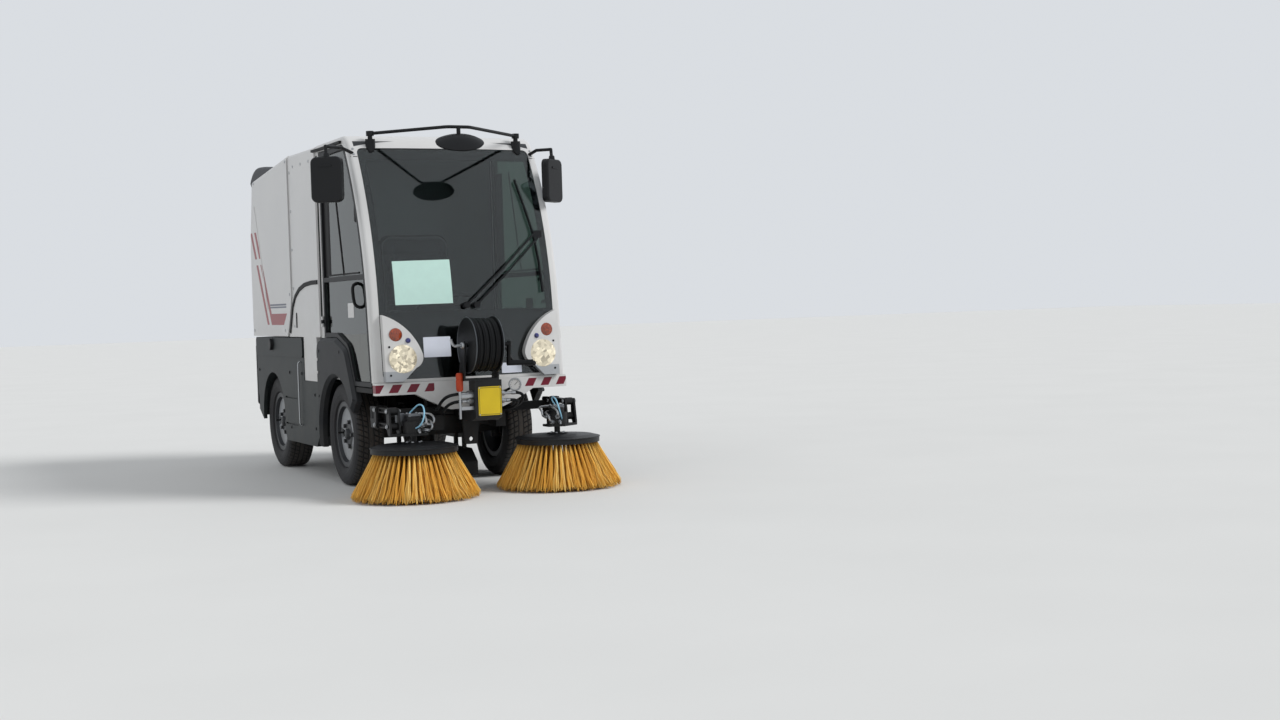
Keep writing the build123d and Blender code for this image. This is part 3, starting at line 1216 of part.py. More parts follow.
# Side mirrors, each turned towards the driver on an arm from the windscreen's upper corner
cab_skin = cab_block(-seat_gap)
mirror_arm = 9.0
mirror_half = 87.0
mirror_tall = 242.0
mirror_deep = 40.0
mirror_z = 1685.0
mirror_y = -925.0
mirror_toe = radians(38.0)
with BuildPart() as side_mirrors:
    for side, reach in ((-1, 168.0), (1, 35.0)):
        across = side * (body_half + reach)
        head = Plane(origin=(across, mirror_y, mirror_z), x_dir=(cos(mirror_toe), side * sin(mirror_toe), 0),
                     z_dir=(side * sin(mirror_toe), -cos(mirror_toe), 0))
        with BuildSketch(head.offset(-mirror_deep / 2)):
            RectangleRounded(2 * mirror_half, mirror_tall, 34)
        extrude(amount=mirror_deep)
        fillet(side_mirrors.edges().filter_by(
            lambda e: abs(head.to_local_coords(e.center()).Z - mirror_deep / 2) < 0.1), 12)
    for side, reach in ((-1, 168.0), (1, 35.0)):
        root = side * (body_half - 47)
        across = side * (body_half + reach)
        route = ((root, -745, 1836), (root + 0.46 * (across - root), -812, 1866), (across, mirror_y + 8, 1862),
                 (across, mirror_y, mirror_z + mirror_tall / 2 - 8))
        for start, end in zip(route, route[1:]):
            line = Vector(*end) - Vector(*start)
            with BuildSketch(Plane(origin=start, x_dir=(1, 0, 0.2), z_dir=line)):
                Circle(mirror_arm)
            extrude(amount=line.length)
            with Locations(end):
                Sphere(mirror_arm)
    add(cab_skin, mode=Mode.SUBTRACT)
side_mirrors.part.label = "side_mirrors"

# Roof bar on two feet, with the kerb mirror's oval dome hung from its bend
dome_radius = 140.0
dome_rise = 40.0
dome_ball = (dome_radius**2 + dome_rise**2) / (2 * dome_rise)
dome_mid = asin(dome_radius / dome_ball) / 2
with BuildPart() as mirror_dome:
    with BuildSketch(Plane.XZ):
        with BuildLine():
            Polyline((0, dome_rise), (0, -8), (dome_radius - 5, -8), (dome_radius, 0))
            ThreePointArc((dome_radius, 0),
                          (dome_ball * sin(dome_mid), dome_rise - dome_ball * (1 - cos(dome_mid))), (0, dome_rise))
        make_face()
    revolve(axis=Axis.Z)
bar_y = -752.0
bar_rise = 2.5225            # the bar's middle above the roof
bar_z = roof_height + bar_rise
bend_x = -30.0
bend_y = bar_y - 350.0
dome_place = Plane(origin=(bend_x, bend_y - 4, bar_z - 77), x_dir=(1, 0, 0.12), z_dir=(0, -0.66, 0.75))
oval_dome = dome_place.location * scale(mirror_dome.part, by=(1, 0.52, 1))
feet = (-body_half + 129, body_half - 111)
with BuildPart() as front_mirror:
    for across in feet:
        for radius, low, high in ((27, roof_height - 150, bar_z - 31), (13, bar_z - 41, bar_z), (21, bar_z - 13, bar_z + 13)):
            with BuildSketch(Plane.XY.offset(low)):
                with Locations((across, bar_y)):
                    Circle(radius)
            extrude(amount=high - low)
    with BuildLine() as bar_line:
        FilletPolyline((feet[0], bar_y, bar_z), (bend_x - 62, bend_y + 12, bar_z + 7),
                       (bend_x + 62, bend_y + 12, bar_z + 7), (feet[1], bar_y, bar_z), radius=60)
    with BuildSketch(Plane(origin=(feet[0], bar_y, bar_z), x_dir=(0, 0, 1), z_dir=bar_line.wires()[0] % 0)):
        Circle(mirror_arm)
    sweep(path=bar_line.wires()[0])
    with BuildSketch(Plane.XY.offset(bar_z - 61)):
        with Locations((bend_x, bend_y + 12)):
            Circle(11)
    extrude(amount=75)
    add(oval_dome)
    add(cab_skin, mode=Mode.SUBTRACT)
front_mirror.part.label = "front_mirror"

# Wiper with its two parallel links
wiper_stand = 26.0
with BuildPart() as wiper:
    for start, end in (((-25, 1000), (428, 1392)), ((32, 1000), (452, 1372))):
        middle = ((start[0] + end[0]) / 2, (start[1] + end[1]) / 2)
        add(bar(on_glass(*start, wiper_stand), on_glass(*middle, wiper_stand + 6), 10, 10, across=(0.65, 0, -0.75)))
        add(bar(on_glass(*middle, wiper_stand + 6), on_glass(*end, wiper_stand), 10, 10, across=(0.65, 0, -0.75)))
    for across in (-25, 32):
        place = on_glass(across, 1000, 0)
        with BuildSketch(Plane.XZ.offset(-place[1] + 34)):
            with Locations((across, 1000)):
                Circle(17)
        extrude(amount=-60)
    place = on_glass(440, 1382, wiper_stand)
    with Locations(place):
        Box(50, 12, 40)
    blade = ((366, 1690), (398, 1500), (420, 1382), (432, 1230), (438, 1060))
    for start, end in zip(blade, blade[1:]):
        add(bar(on_glass(*start, 14), on_glass(*end, 14), 9, 20, across=(1, 0, 0)))
    with BuildSketch(Plane.XZ.offset(-on_glass(430, 1382, 0)[1] + 30)):
        with Locations((430, 1382)):
            Circle(12)
    extrude(amount=-20)
    add(nose_body(2 - seat_gap), mode=Mode.SUBTRACT)
wiper.part.label = "wiper"

for piece in (front_carrier, reel_frame, hose_reel, suction_nozzle, suction_pipe, side_mirrors,
              front_mirror, wiper):
    export_step(piece.part, f"parts/{piece.part.label}.step")
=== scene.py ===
# %% [markdown]
# A compact street sweeper. Its solids come from a CAD file as a fixed frame, already in metres
# and already grouped into the bodies that move. Everything below dresses that frame: first the
# finishes, then the pieces that are too fine for the CAD model, such as bristles, screws,
# seals, lamps and trim. Each piece rides on the body that carries it on the real machine.

# %% Load the frame
import math
import bmesh
import bpy
from mathutils import Matrix, Vector
from mathutils.bvhtree import BVHTree


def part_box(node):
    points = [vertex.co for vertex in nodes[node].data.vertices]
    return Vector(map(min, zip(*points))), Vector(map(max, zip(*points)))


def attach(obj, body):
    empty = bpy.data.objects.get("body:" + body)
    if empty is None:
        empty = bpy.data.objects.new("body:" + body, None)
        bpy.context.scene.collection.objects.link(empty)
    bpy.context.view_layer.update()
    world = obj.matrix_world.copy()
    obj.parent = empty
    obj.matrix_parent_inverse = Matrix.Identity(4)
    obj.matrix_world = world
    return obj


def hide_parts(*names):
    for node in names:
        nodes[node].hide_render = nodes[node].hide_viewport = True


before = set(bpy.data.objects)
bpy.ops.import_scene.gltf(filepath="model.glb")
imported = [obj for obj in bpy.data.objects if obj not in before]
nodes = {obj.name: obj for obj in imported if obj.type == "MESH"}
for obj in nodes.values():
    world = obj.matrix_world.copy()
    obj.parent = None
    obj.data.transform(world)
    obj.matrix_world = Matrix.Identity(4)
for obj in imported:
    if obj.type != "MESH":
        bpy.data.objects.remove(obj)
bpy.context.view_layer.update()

scene = bpy.context.scene

# %% [markdown]
# The camera repeats a photographer who stands ten metres off the right-hand front corner with
# the lens a metre above the ground. Its axes were solved from the machine's straight edges, so
# they are written here as a yaw, a pitch and a roll.

# %% Camera
eye = Vector((-3.146, -9.533, 0.985))
yaw, pitch, roll = math.radians(26.24), math.radians(-1.99), math.radians(-1.77)
ahead = Vector((math.sin(yaw), math.cos(yaw), 0))
right = Vector((math.cos(yaw), -math.sin(yaw), 0))
view_line = ahead * math.cos(pitch) + Vector((0, 0, 1)) * math.sin(pitch)
view_up = Vector((0, 0, 1)) * math.cos(pitch) - ahead * math.sin(pitch)
view_right = right * math.cos(roll) + view_up * math.sin(roll)
view_up = view_up * math.cos(roll) - right * math.sin(roll)
sensor_mm, focal_px, picture_px = 36.0, 1657.2, 1280
optics = bpy.data.cameras.new("camera")
optics.sensor_width = sensor_mm
optics.lens = sensor_mm * focal_px / picture_px
optics.clip_end = 200.0
camera = bpy.data.objects.new("camera", optics)
scene.collection.objects.link(camera)
turn = Matrix((view_right, view_up, -view_line)).transposed()
camera.matrix_world = Matrix.Translation(eye) @ turn.to_4x4()
scene.camera = camera
scene.view_settings.view_transform = "Standard"
print("lens", round(optics.lens, 2), "mm")

# %% [markdown]
# Materials and geometry trees are both graphs of nodes. One helper adds a node, sets it up and
# links it: an input given as another node's socket becomes a link, anything else is its value.
# Colours are written as sRGB hex codes, as they are read off a paint card, and turned to linear
# light before Blender gets them. A noise's scale is 1000 over the size of its patches in
# millimetres, and a bump's distance is its depth in millimetres over 1000.

# %% Helpers for node graphs
def linear(code):
    """Linear RGBA of an sRGB hex code."""
    parts = [int(code[i:i + 2], 16) / 255 for i in (1, 3, 5)]
    return [p / 12.92 if p <= 0.04045 else ((p + 0.055) / 1.055) ** 2.4 for p in parts] + [1.0]


def tone(code, factor=1.0, lift=0):
    """A hex code darkened by a factor, or made paler by a lift of each of its parts."""
    parts = [min(255, int(int(code[i:i + 2], 16) * factor) + lift) for i in (1, 3, 5)]
    return "#" + "".join(f"{part:02x}" for part in parts)


def add(tree, kind, inputs=(), out=0, **settings):
    """Adds a node with its settings, and sets or links its inputs, by name or as a list in their order.
    Gives its output called out, or the node itself where out is None."""
    node = tree.nodes.new(kind)
    for name, value in settings.items():
        setattr(node, name, value)
    for name, value in inputs.items() if isinstance(inputs, dict) else enumerate(inputs):
        if isinstance(value, bpy.types.NodeSocket):
            tree.links.new(value, node.inputs[name])
        else:
            is_colour = isinstance(value, str) and value.startswith("#")
            node.inputs[name].default_value = linear(value) if is_colour else value
    return node if out is None else node.outputs[out]


print("white in linear light:", linear("#ffffff"))

# %% [markdown]
# A surface starts from one shader and the place on the object in metres. Two patterns serve many
# surfaces: a band between two places, and road dust that settles low down and in patches.

# %% Helpers for surfaces
def finish(name, **sockets):
    """A new surface: its material, node tree, shader and the place on the object in metres."""
    material = bpy.data.materials.new(name)
    material.use_nodes = True
    tree = material.node_tree
    shader = tree.nodes["Principled BSDF"]
    for socket, value in sockets.items():
        shader.inputs[socket.replace("_", " ")].default_value = value
    place = add(tree, "ShaderNodeTexCoord", out="Object")
    return material, tree, shader, place


def feed(tree, shader, **sockets):
    """Links outputs to inputs of the shader, with _ for a blank in their names."""
    for name, socket in sockets.items():
        tree.links.new(socket, shader.inputs[name.replace("_", " ")])


def between(tree, value, low, high, soft=0.0006):
    """1 where value lies from low to high, with an edge soft metres wide."""
    rise = add(tree, "ShaderNodeMapRange", {"Value": value, "From Min": low - soft, "From Max": low + soft})
    fall = add(tree, "ShaderNodeMapRange", {"Value": value, "From Min": high - soft, "From Max": high + soft,
                                            "To Min": 1.0, "To Max": 0.0})
    return add(tree, "ShaderNodeMath", [rise, fall], operation="MULTIPLY")


def wear(tree, place, base, dust, low_z, high_z, amount=0.6):
    """Base colour with road dust that thickens from high_z down to low_z, in patches."""
    height = add(tree, "ShaderNodeSeparateXYZ", [place], "Z")
    low = add(tree, "ShaderNodeMapRange", {"Value": height, "From Min": low_z, "From Max": high_z,
                                           "To Min": amount, "To Max": 0.0})
    patches = add(tree, "ShaderNodeTexNoise", {"Vector": place, "Scale": 1000 / 130, "Detail": 5.0,
                                               "Roughness": 0.65})
    patches = add(tree, "ShaderNodeMapRange", {"Value": patches, "From Min": 0.35, "From Max": 0.75})
    share = add(tree, "ShaderNodeMath", [low, patches], operation="MULTIPLY")
    return add(tree, "ShaderNodeMix", {"Factor": share, 6: base, 7: dust}, 2, data_type="RGBA")


def dress(material, *names):
    """Gives CAD nodes a material."""
    for name in names:
        slots = nodes[name].data.materials
        slots.clear()
        slots.append(material)


sides = (("right", -1), ("left", 1))
axles, axle_height = (("front", -0.381), ("rear", 1.065)), 0.290
print("helpers ready")

# %% [markdown]
# The body panels are sheet steel with a white two-pack enamel, sprayed and baked. Such paint
# has a soft gloss over a faint orange peel with waves about 4 mm long, drawn here at 9 mm so
# that it shows. Road film greys the lower panels. The hopper carries dark red stripes: two that
# slope along the crease of its side, and one that runs forward from their foot.

# %% White enamel
def enamel(name, code="#d4d3d1"):
    """White baked enamel with orange peel and road film."""
    made = finish(name, Roughness=0.34, Specular_IOR_Level=0.3, Coat_Weight=0.2, Coat_Roughness=0.08)
    material, tree, shader, place = made
    mottle = add(tree, "ShaderNodeTexNoise", {"Vector": place, "Scale": 1000 / 700, "Detail": 3.0})
    base = add(tree, "ShaderNodeMix", {"Factor": mottle, 6: code, 7: "#c6c6c6"}, 2, data_type="RGBA")
    film = wear(tree, place, base, "#a39c90", 0.45, 1.25, 0.35)
    feed(tree, shader, Base_Color=film)
    relief = add(tree, "ShaderNodeTexNoise", {"Vector": place, "Scale": 1000 / 9})
    feed(tree, shader, Normal=add(tree, "ShaderNodeBump", {"Height": relief, "Distance": 0.05 / 1000}))
    return made + (film,)


print("enamel ready")

# %% [markdown]
# On the hopper each stripe is a product of bands: one slanted, by y less a share of z, and one by
# height. The distance from the middle keeps them on the flanks.

# %% Hopper stripes
white_enamel = enamel("white_baked_enamel")[0]
material, tree, shader, place, film = enamel("hopper_white_enamel")
part = add(tree, "ShaderNodeSeparateXYZ", [place], None)
run_y, run_z = part.outputs["Y"], part.outputs["Z"]
slope = add(tree, "ShaderNodeMath", [run_z, 0.635], operation="MULTIPLY")
slope = add(tree, "ShaderNodeMath", [run_y, slope], operation="SUBTRACT")
stripes = add(tree, "ShaderNodeMath", [between(tree, slope, 0.372, 0.424), between(tree, run_z, 0.930, 1.52)],
              operation="MULTIPLY")
second = add(tree, "ShaderNodeMath", [between(tree, slope, 0.480, 0.532), between(tree, run_z, 0.915, 1.52)],
             operation="MULTIPLY")
stripes = add(tree, "ShaderNodeMath", [stripes, second], operation="MAXIMUM")
unbroken = add(tree, "ShaderNodeMath", [1.0, between(tree, run_z, 1.305, 1.345)], operation="SUBTRACT")
stripes = add(tree, "ShaderNodeMath", [stripes, unbroken], operation="MULTIPLY")
front_end = add(tree, "ShaderNodeMath", [run_z, 1.2], operation="MULTIPLY")
front_end = add(tree, "ShaderNodeMath", [run_y, front_end], operation="ADD")
band = add(tree, "ShaderNodeMath", [between(tree, run_z, 0.913, 0.984), between(tree, front_end, 1.79, 9.0)],
           operation="MULTIPLY")
band = add(tree, "ShaderNodeMath", [band, between(tree, slope, -1.0, 0.424)], operation="MULTIPLY")
stripes = add(tree, "ShaderNodeMath", [stripes, band], operation="MAXIMUM")
side_only = add(tree, "ShaderNodeMath", [part.outputs["X"]], operation="ABSOLUTE")
side_only = add(tree, "ShaderNodeMath", [side_only, 0.5635], operation="GREATER_THAN")
stripes = add(tree, "ShaderNodeMath", [stripes, side_only], operation="MULTIPLY")
red = add(tree, "ShaderNodeMix", {"Factor": stripes, 6: film, 7: "#880411"}, 2, data_type="RGBA")
blue = add(tree, "ShaderNodeMath", [between(tree, run_z, 1.019, 1.045), between(tree, run_y, 0.622, 1.03)],
           operation="MULTIPLY")
gap = add(tree, "ShaderNodeMath", [1.0, between(tree, run_z, 1.029, 1.034)], operation="SUBTRACT")
blue = add(tree, "ShaderNodeMath", [blue, gap], operation="MULTIPLY")
blue = add(tree, "ShaderNodeMath", [blue, side_only], operation="MULTIPLY")
feed(tree, shader, Base_Color=add(tree, "ShaderNodeMix", {"Factor": blue, 6: red, 7: "#3d4458"}, 2,
                                  data_type="RGBA"))
dress(material, "hopper_shell")
dress(white_enamel, "rear_cowl", "tailgate")
print("hopper, cowl and tailgate")

# %% [markdown]
# The lamp pods wear the same enamel. Their foot below the headlamps is mixed to grey, which is painted shade
# in that recess.

# %% Lamp pods
material, tree, shader, place, film = enamel("pod_white_enamel", "#dcdbd9")
# Painted shade: the pods' foot, from 0.50 m to 0.66 m high, is mixed to grey.
recess_painted_shade = between(tree, add(tree, "ShaderNodeSeparateXYZ", [place], "Z"), 0.500, 0.660, 0.002)
feed(tree, shader, Base_Color=add(tree, "ShaderNodeMix", {"Factor": recess_painted_shade, 6: film, 7: "#a3a6a9"}, 2,
                                  data_type="RGBA"))
dress(material, "headlamp_pods")
print("enamel on the panels")

# %% [markdown]
# The cab is one welding, white outside and dark grey inside: partly a lining of moulded board, partly
# painted shade of the cab's inside. One material can be both: a box a hair inside the walls marks the dark
# grey.

# %% Cab enamel with its lining and painted shade
material, tree, shader, place, film = enamel("cab_white_enamel", "#dcdbd9")
part = add(tree, "ShaderNodeSeparateXYZ", [place], None)
lining_and_painted_shade = between(tree, part.outputs["X"], -0.5105, 0.5105)
lining_and_painted_shade = add(tree, "ShaderNodeMath", [lining_and_painted_shade, between(tree, part.outputs["Y"], -0.745, -0.1375)],
             operation="MULTIPLY")
lining_and_painted_shade = add(tree, "ShaderNodeMath", [lining_and_painted_shade, between(tree, part.outputs["Z"], 0.5, 1.9112)],
             operation="MULTIPLY")
# Inside the box the colour is dark grey: partly the lining's own tone, partly painted shade inside the cab.
feed(tree, shader, Base_Color=add(tree, "ShaderNodeMix", {"Factor": lining_and_painted_shade, 6: film, 7: "#2b2d30"}, 2,
                                  data_type="RGBA"))
dress(material, "cab_shell")
print("cab enamel")

# %% [markdown]
# The bumper's ends carry the slanted red and white blocks that road plant wears. They lean by
# 0.62 of their height and repeat every 96 mm, so a block is a remainder of x less a share of z.

# %% Bumper enamel with slanted blocks
material, tree, shader, place, film = enamel("bumper_white_enamel", "#dcdbd9")
part = add(tree, "ShaderNodeSeparateXYZ", [place], None)
across, up = part.outputs["X"], part.outputs["Z"]
block = add(tree, "ShaderNodeMath", [up, 0.62], operation="MULTIPLY")
block = add(tree, "ShaderNodeMath", [across, block], operation="SUBTRACT")
block = add(tree, "ShaderNodeMath", [block, 2.0], operation="ADD")
block = add(tree, "ShaderNodeMath", [block, 0.096], operation="MODULO")
block = between(tree, block, 0.028, 0.078)
ends = add(tree, "ShaderNodeMath", [between(tree, across, -0.549, -0.233),
                                    between(tree, across, 0.282, 0.549)], operation="MAXIMUM")
block = add(tree, "ShaderNodeMath", [block, ends], operation="MULTIPLY")
block = add(tree, "ShaderNodeMath", [block, between(tree, up, 0.547, 0.590)], operation="MULTIPLY")
feed(tree, shader, Base_Color=add(tree, "ShaderNodeMix", {"Factor": block, 6: film, 7: "#6c0621"}, 2,
                                  data_type="RGBA"))
dress(material, "bumper")
print("bumper blocks")

# %% [markdown]
# The chassis, arms and brackets are welded steel with a black powder coat: satin, with a fine
# pebble from the powder, and paler where road dust sits.

# %% Black powder coat
def powder_coat(name, code="#101113", dust="#4a463f", amount=0.3):
    """Black powder-coated steel."""
    material, tree, shader, place = finish(name, Roughness=0.5, Specular_IOR_Level=0.3)
    mottle = add(tree, "ShaderNodeTexNoise", {"Vector": place, "Scale": 1000 / 60, "Detail": 4.0})
    colour = add(tree, "ShaderNodeMix", {"Factor": mottle, 6: code, 7: "#1a1b1e"}, 2, data_type="RGBA")
    colour = wear(tree, place, colour, dust, 0.2, 0.9, amount)
    feed(tree, shader, Base_Color=colour)
    relief = add(tree, "ShaderNodeTexNoise", {"Vector": place, "Scale": 1000 / 3, "Detail": 3.0})
    feed(tree, shader, Normal=add(tree, "ShaderNodeBump", {"Height": relief, "Distance": 0.12 / 1000}))
    return material


black_coat = powder_coat("black_powder_coat")
door_coat = powder_coat("door_frame_black", "#141517", "#2a2a2a", 0.2)
dress(black_coat, "chassis_frame", "front_axle", "rear_axle", "front_carrier", "reel_frame", "tail_panel",
      "suction_nozzle", "suction_pipe", "knuckle_left", "knuckle_right", *[f"brush_{kind}_{name}"
        for kind in ("bracket", "lower_arm", "upper_arm", "head") for name, _ in sides])
dress(door_coat, "door_left", "door_right")
print("black powder coat")

# %% [markdown]
# Tanks and mudguards are moulded plastic. The tanks are rotationally moulded polyethylene, dark
# green-grey with a soft grain about 1.5 mm across, and dull. Mudguards are pressed ABS with a
# finer grain. The small black parts, such as mirrors and the wiper, are injection moulded.

# %% Moulded plastics
def moulded(name, code, grain_mm, rough, dust="#5d5a53", amount=0.4, top=0.95):
    """Grained plastic with dust in its lower part."""
    material, tree, shader, place = finish(name, Roughness=rough, Specular_IOR_Level=0.3)
    mottled = add(tree, "ShaderNodeTexNoise", {"Vector": place, "Scale": 1000 / 260, "Detail": 4.0})
    lighter = tone(code, lift=10)
    colour = add(tree, "ShaderNodeMix", {"Factor": mottled, 6: code, 7: lighter}, 2, data_type="RGBA")
    colour = wear(tree, place, colour, dust, 0.15, top, amount)
    feed(tree, shader, Base_Color=colour)
    relief = add(tree, "ShaderNodeTexNoise", {"Vector": place, "Scale": 1000 / grain_mm, "Detail": 3.0})
    feed(tree, shader, Normal=add(tree, "ShaderNodeBump", {"Height": relief, "Distance": 0.18 / 1000}))
    return material


tank_plastic = moulded("rotomoulded_polyethylene", "#181e1f", 3.0, 0.5, amount=0.22)
guard_plastic = moulded("pressed_abs_grey", "#1d1f22", 2.0, 0.55, amount=0.25)
black_plastic = moulded("moulded_black_plastic", "#0e0f11", 1.6, 0.45, amount=0.05)
floor_plastic = moulded("floor_board_grey", "#1f1f20", 4.0, 0.7, amount=0.2)
hood_plastic = moulded("hood_grey_plastic", "#34363a", 3.0, 0.55, amount=0.0)
dress(tank_plastic, "water_tanks")
dress(guard_plastic, "front_mudguards")
dress(floor_plastic, "cab_floor")
dress(hood_plastic, "hopper_hood")
dress(black_plastic, "dashboard", "steering_wheel", "side_mirrors", "front_mirror", "wiper",
      "brush_disc_left", "brush_disc_right")
print("plastics")

# %% [markdown]
# Automotive glass is tinted green and polished flat. Each pane is a real slab 7 mm thick, so it
# needs only a tint and the index of soda glass, 1.52, to bend and mirror what is round it. The door
# panes are tinted far darker than the windscreen: partly their green, partly painted shade of the cab behind.

# %% Glass
def glass(name, code):
    """Clear pane in one tint."""
    material, tree, shader, place = finish(name, Roughness=0.0, IOR=1.52, Transmission_Weight=1.0,
                                           Specular_IOR_Level=0.3)
    shader.inputs["Base Color"].default_value = linear(code)
    return material


screen_glass = glass("windscreen_green_glass", "#c9d6d6")
# The door panes' dark tint is partly the glass's green and partly painted shade of the cab behind them.
pane_glass_and_painted_shade = glass("door_green_glass", "#4c5d53")
dress(screen_glass, "windscreen")
dress(pane_glass_and_painted_shade, "door_glass_left", "door_glass_right")
print("glass")

# %% [markdown]
# A lamp's lens is pressed in facets, which Voronoi cells stand for: the chance value of each cell
# tints and raises it. Behind the headlamp's shines a reflector. The signal lamps are coloured
# acrylic with finer facets.

# %% Lamp lenses
def lens(name, code, cell_mm, shine, glow=0.0):
    """Lamp lens over its reflector, pressed in facets that each catch the light."""
    material, tree, shader, place = finish(name, Roughness=0.16, Coat_Weight=1.0, Coat_Roughness=0.03,
                                           Metallic=shine)
    cells = add(tree, "ShaderNodeTexVoronoi", {"Vector": place, "Scale": 1000.0 / cell_mm}, None,
                feature="F1")
    facet = add(tree, "ShaderNodeSeparateColor", {0: cells.outputs["Color"]})
    deep = tone(code, 0.62)
    shade = add(tree, "ShaderNodeMix", {"Factor": facet, 6: deep, 7: code}, 2, data_type="RGBA")
    feed(tree, shader, Base_Color=shade)
    if glow:
        feed(tree, shader, Emission_Color=shade)
        shader.inputs["Emission Strength"].default_value = glow
    feed(tree, shader, Normal=add(tree, "ShaderNodeBump", {"Height": facet, "Distance": 3.0 / 1000}))
    return material


dress(lens("headlamp_faceted_glass", "#fff3d6", 17.0, 0.6, 0.35), "headlamps")
dress(lens("amber_acrylic_lens", "#ad451c", 5.0, 0.0), "indicators")
dress(lens("red_acrylic_lens", "#98141a", 6.0, 0.0), "tail_lamps")
blue_lens = lens("blue_acrylic_lens", "#2a2f86", 4.0, 0.0)
print("lenses")

# %% [markdown]
# A tyre's black is carbon-filled rubber: dull, a little brown where it meets the road. Its tread
# and the rings on its wall turn with the wheel, so the pattern is drawn in polar coordinates
# round the axle: a Mapping node brings the axle to the origin, the angle gives the blocks and
# the radius gives the rings. Front and rear wheels differ only in where that axle is.

# %% Distance from an axle
def round_axle(tree, place, axle_y):
    """The place's parts with the axle as origin, and its distance from the axle."""
    centred = add(tree, "ShaderNodeMapping", {"Vector": place, "Location": (0, -axle_y, -axle_height)})
    part = add(tree, "ShaderNodeSeparateXYZ", [centred], None)
    run = add(tree, "ShaderNodeMath", [part.outputs["Y"], 2.0], operation="POWER")
    rise = add(tree, "ShaderNodeMath", [part.outputs["Z"], 2.0], operation="POWER")
    radius = add(tree, "ShaderNodeMath", [add(tree, "ShaderNodeMath", [run, rise], operation="ADD")],
                 operation="SQRT")
    return part, radius


print("axles:", axles)

# %% [markdown]
# The tread is a height: cuts between the bars and two rings on the shoulder go down, and a sine of
# the radius draws fine ribs on the wall. The cuts are also painted darker, as painted shade in the grooves,
# and the tread is dusty.

# %% Tyre rubber
def tyre_rubber(name, axle_y):
    """Tread blocks, shoulder bars and wall rings round one axle."""
    material, tree, shader, place = finish(name, Roughness=0.72)
    part, radius = round_axle(tree, place, axle_y)
    angle = add(tree, "ShaderNodeMath", [part.outputs["Z"], part.outputs["Y"]], operation="ARCTAN2")
    off = add(tree, "ShaderNodeMath", [add(tree, "ShaderNodeMath", [part.outputs["X"]], operation="ABSOLUTE"),
                                       0.4455], operation="SUBTRACT")
    away = add(tree, "ShaderNodeMath", [off], operation="ABSOLUTE")
    rings = add(tree, "ShaderNodeMath", [between(tree, away, 0.012, 0.018, 0.001),
                                         between(tree, away, 0.040, 0.047, 0.001)], operation="MAXIMUM")
    lean = add(tree, "ShaderNodeMath", [angle, 60 / math.tau], operation="MULTIPLY")
    lean = add(tree, "ShaderNodeMath", [lean, add(tree, "ShaderNodeMath", [off, 14.0], operation="MULTIPLY")],
               operation="ADD")
    bars = between(tree, add(tree, "ShaderNodeMath", [lean], operation="FRACT"), 0.40, 0.62, 0.06)
    bars = add(tree, "ShaderNodeMath", [bars, add(tree, "ShaderNodeMath", [away, 0.018],
                                                  operation="GREATER_THAN")], operation="MULTIPLY")
    cut = add(tree, "ShaderNodeMath", [rings, bars], operation="MAXIMUM")
    cut = add(tree, "ShaderNodeMath", [cut, add(tree, "ShaderNodeMath", [radius, 0.272],
                                                operation="GREATER_THAN")], operation="MULTIPLY")
    wall = add(tree, "ShaderNodeMath", [add(tree, "ShaderNodeMath", [radius, math.tau / 0.011],
                                            operation="MULTIPLY")], operation="SINE")
    wall = add(tree, "ShaderNodeMath", [wall, between(tree, radius, 0.205, 0.262, 0.004)],
               operation="MULTIPLY")
    height = add(tree, "ShaderNodeMath", [wall, 0.08], operation="MULTIPLY")
    height = add(tree, "ShaderNodeMath", [height, cut], operation="SUBTRACT")
    patches = add(tree, "ShaderNodeTexNoise", {"Vector": place, "Scale": 1000 / 40, "Detail": 4.0})
    road = add(tree, "ShaderNodeMath", [between(tree, radius, 0.284, 0.4, 0.006), patches],
               operation="MULTIPLY")
    mottle = add(tree, "ShaderNodeTexNoise", {"Vector": place, "Scale": 1000 / 90, "Detail": 4.0})
    base = add(tree, "ShaderNodeMix", {"Factor": mottle, 6: "#1d1d1e", 7: "#29282a"}, 2, data_type="RGBA")
    base = add(tree, "ShaderNodeMix", {"Factor": road, 6: base, 7: "#4a453f"}, 2, data_type="RGBA")
    # The cuts are mixed to near black: painted shade in the grooves.
    feed(tree, shader, Base_Color=add(tree, "ShaderNodeMix", {"Factor": cut, 6: base, 7: "#0c0c0d"}, 2,
                                      data_type="RGBA"))
    feed(tree, shader, Normal=add(tree, "ShaderNodeBump", {"Height": height, "Distance": 4.0 / 1000}))
    return material


for where, axle_y in axles:
    dress(tyre_rubber(f"tyre_rubber_{where}", axle_y), f"tyre_{where}_left", f"tyre_{where}_right")
print("tyre rubber")

# %% [markdown]
# Rims are pressed steel in a dark enamel, and the disc inside each is painted silver over it,
# dusty in its hollows. Bare steel shows only on the lift cylinder, and on the zinc-plated screws
# and couplings, whose plating is a dull silver with faint crystals about 2 mm across.

# %% Rims, steel and iron
def metal(name, code, rough, crystal_mm, stretch=(1, 1, 1)):
    """Bare or plated metal whose roughness varies with its crystals or brush marks."""
    material, tree, shader, place = finish(name, Metallic=1.0)
    run = add(tree, "ShaderNodeMapping", {"Vector": place, "Scale": stretch})
    grain = add(tree, "ShaderNodeTexNoise", {"Vector": run, "Scale": 1000 / crystal_mm, "Detail": 3.0})
    uneven = add(tree, "ShaderNodeMapRange", {"Value": grain, "To Min": rough - 0.1, "To Max": rough + 0.14})
    feed(tree, shader, Roughness=uneven)
    dull = tone(code, 0.8)
    feed(tree, shader, Base_Color=add(tree, "ShaderNodeMix", {"Factor": grain, 6: dull, 7: code}, 2,
                                      data_type="RGBA"))
    feed(tree, shader, Normal=add(tree, "ShaderNodeBump", {"Height": grain, "Distance": 0.03 / 1000}))
    return material


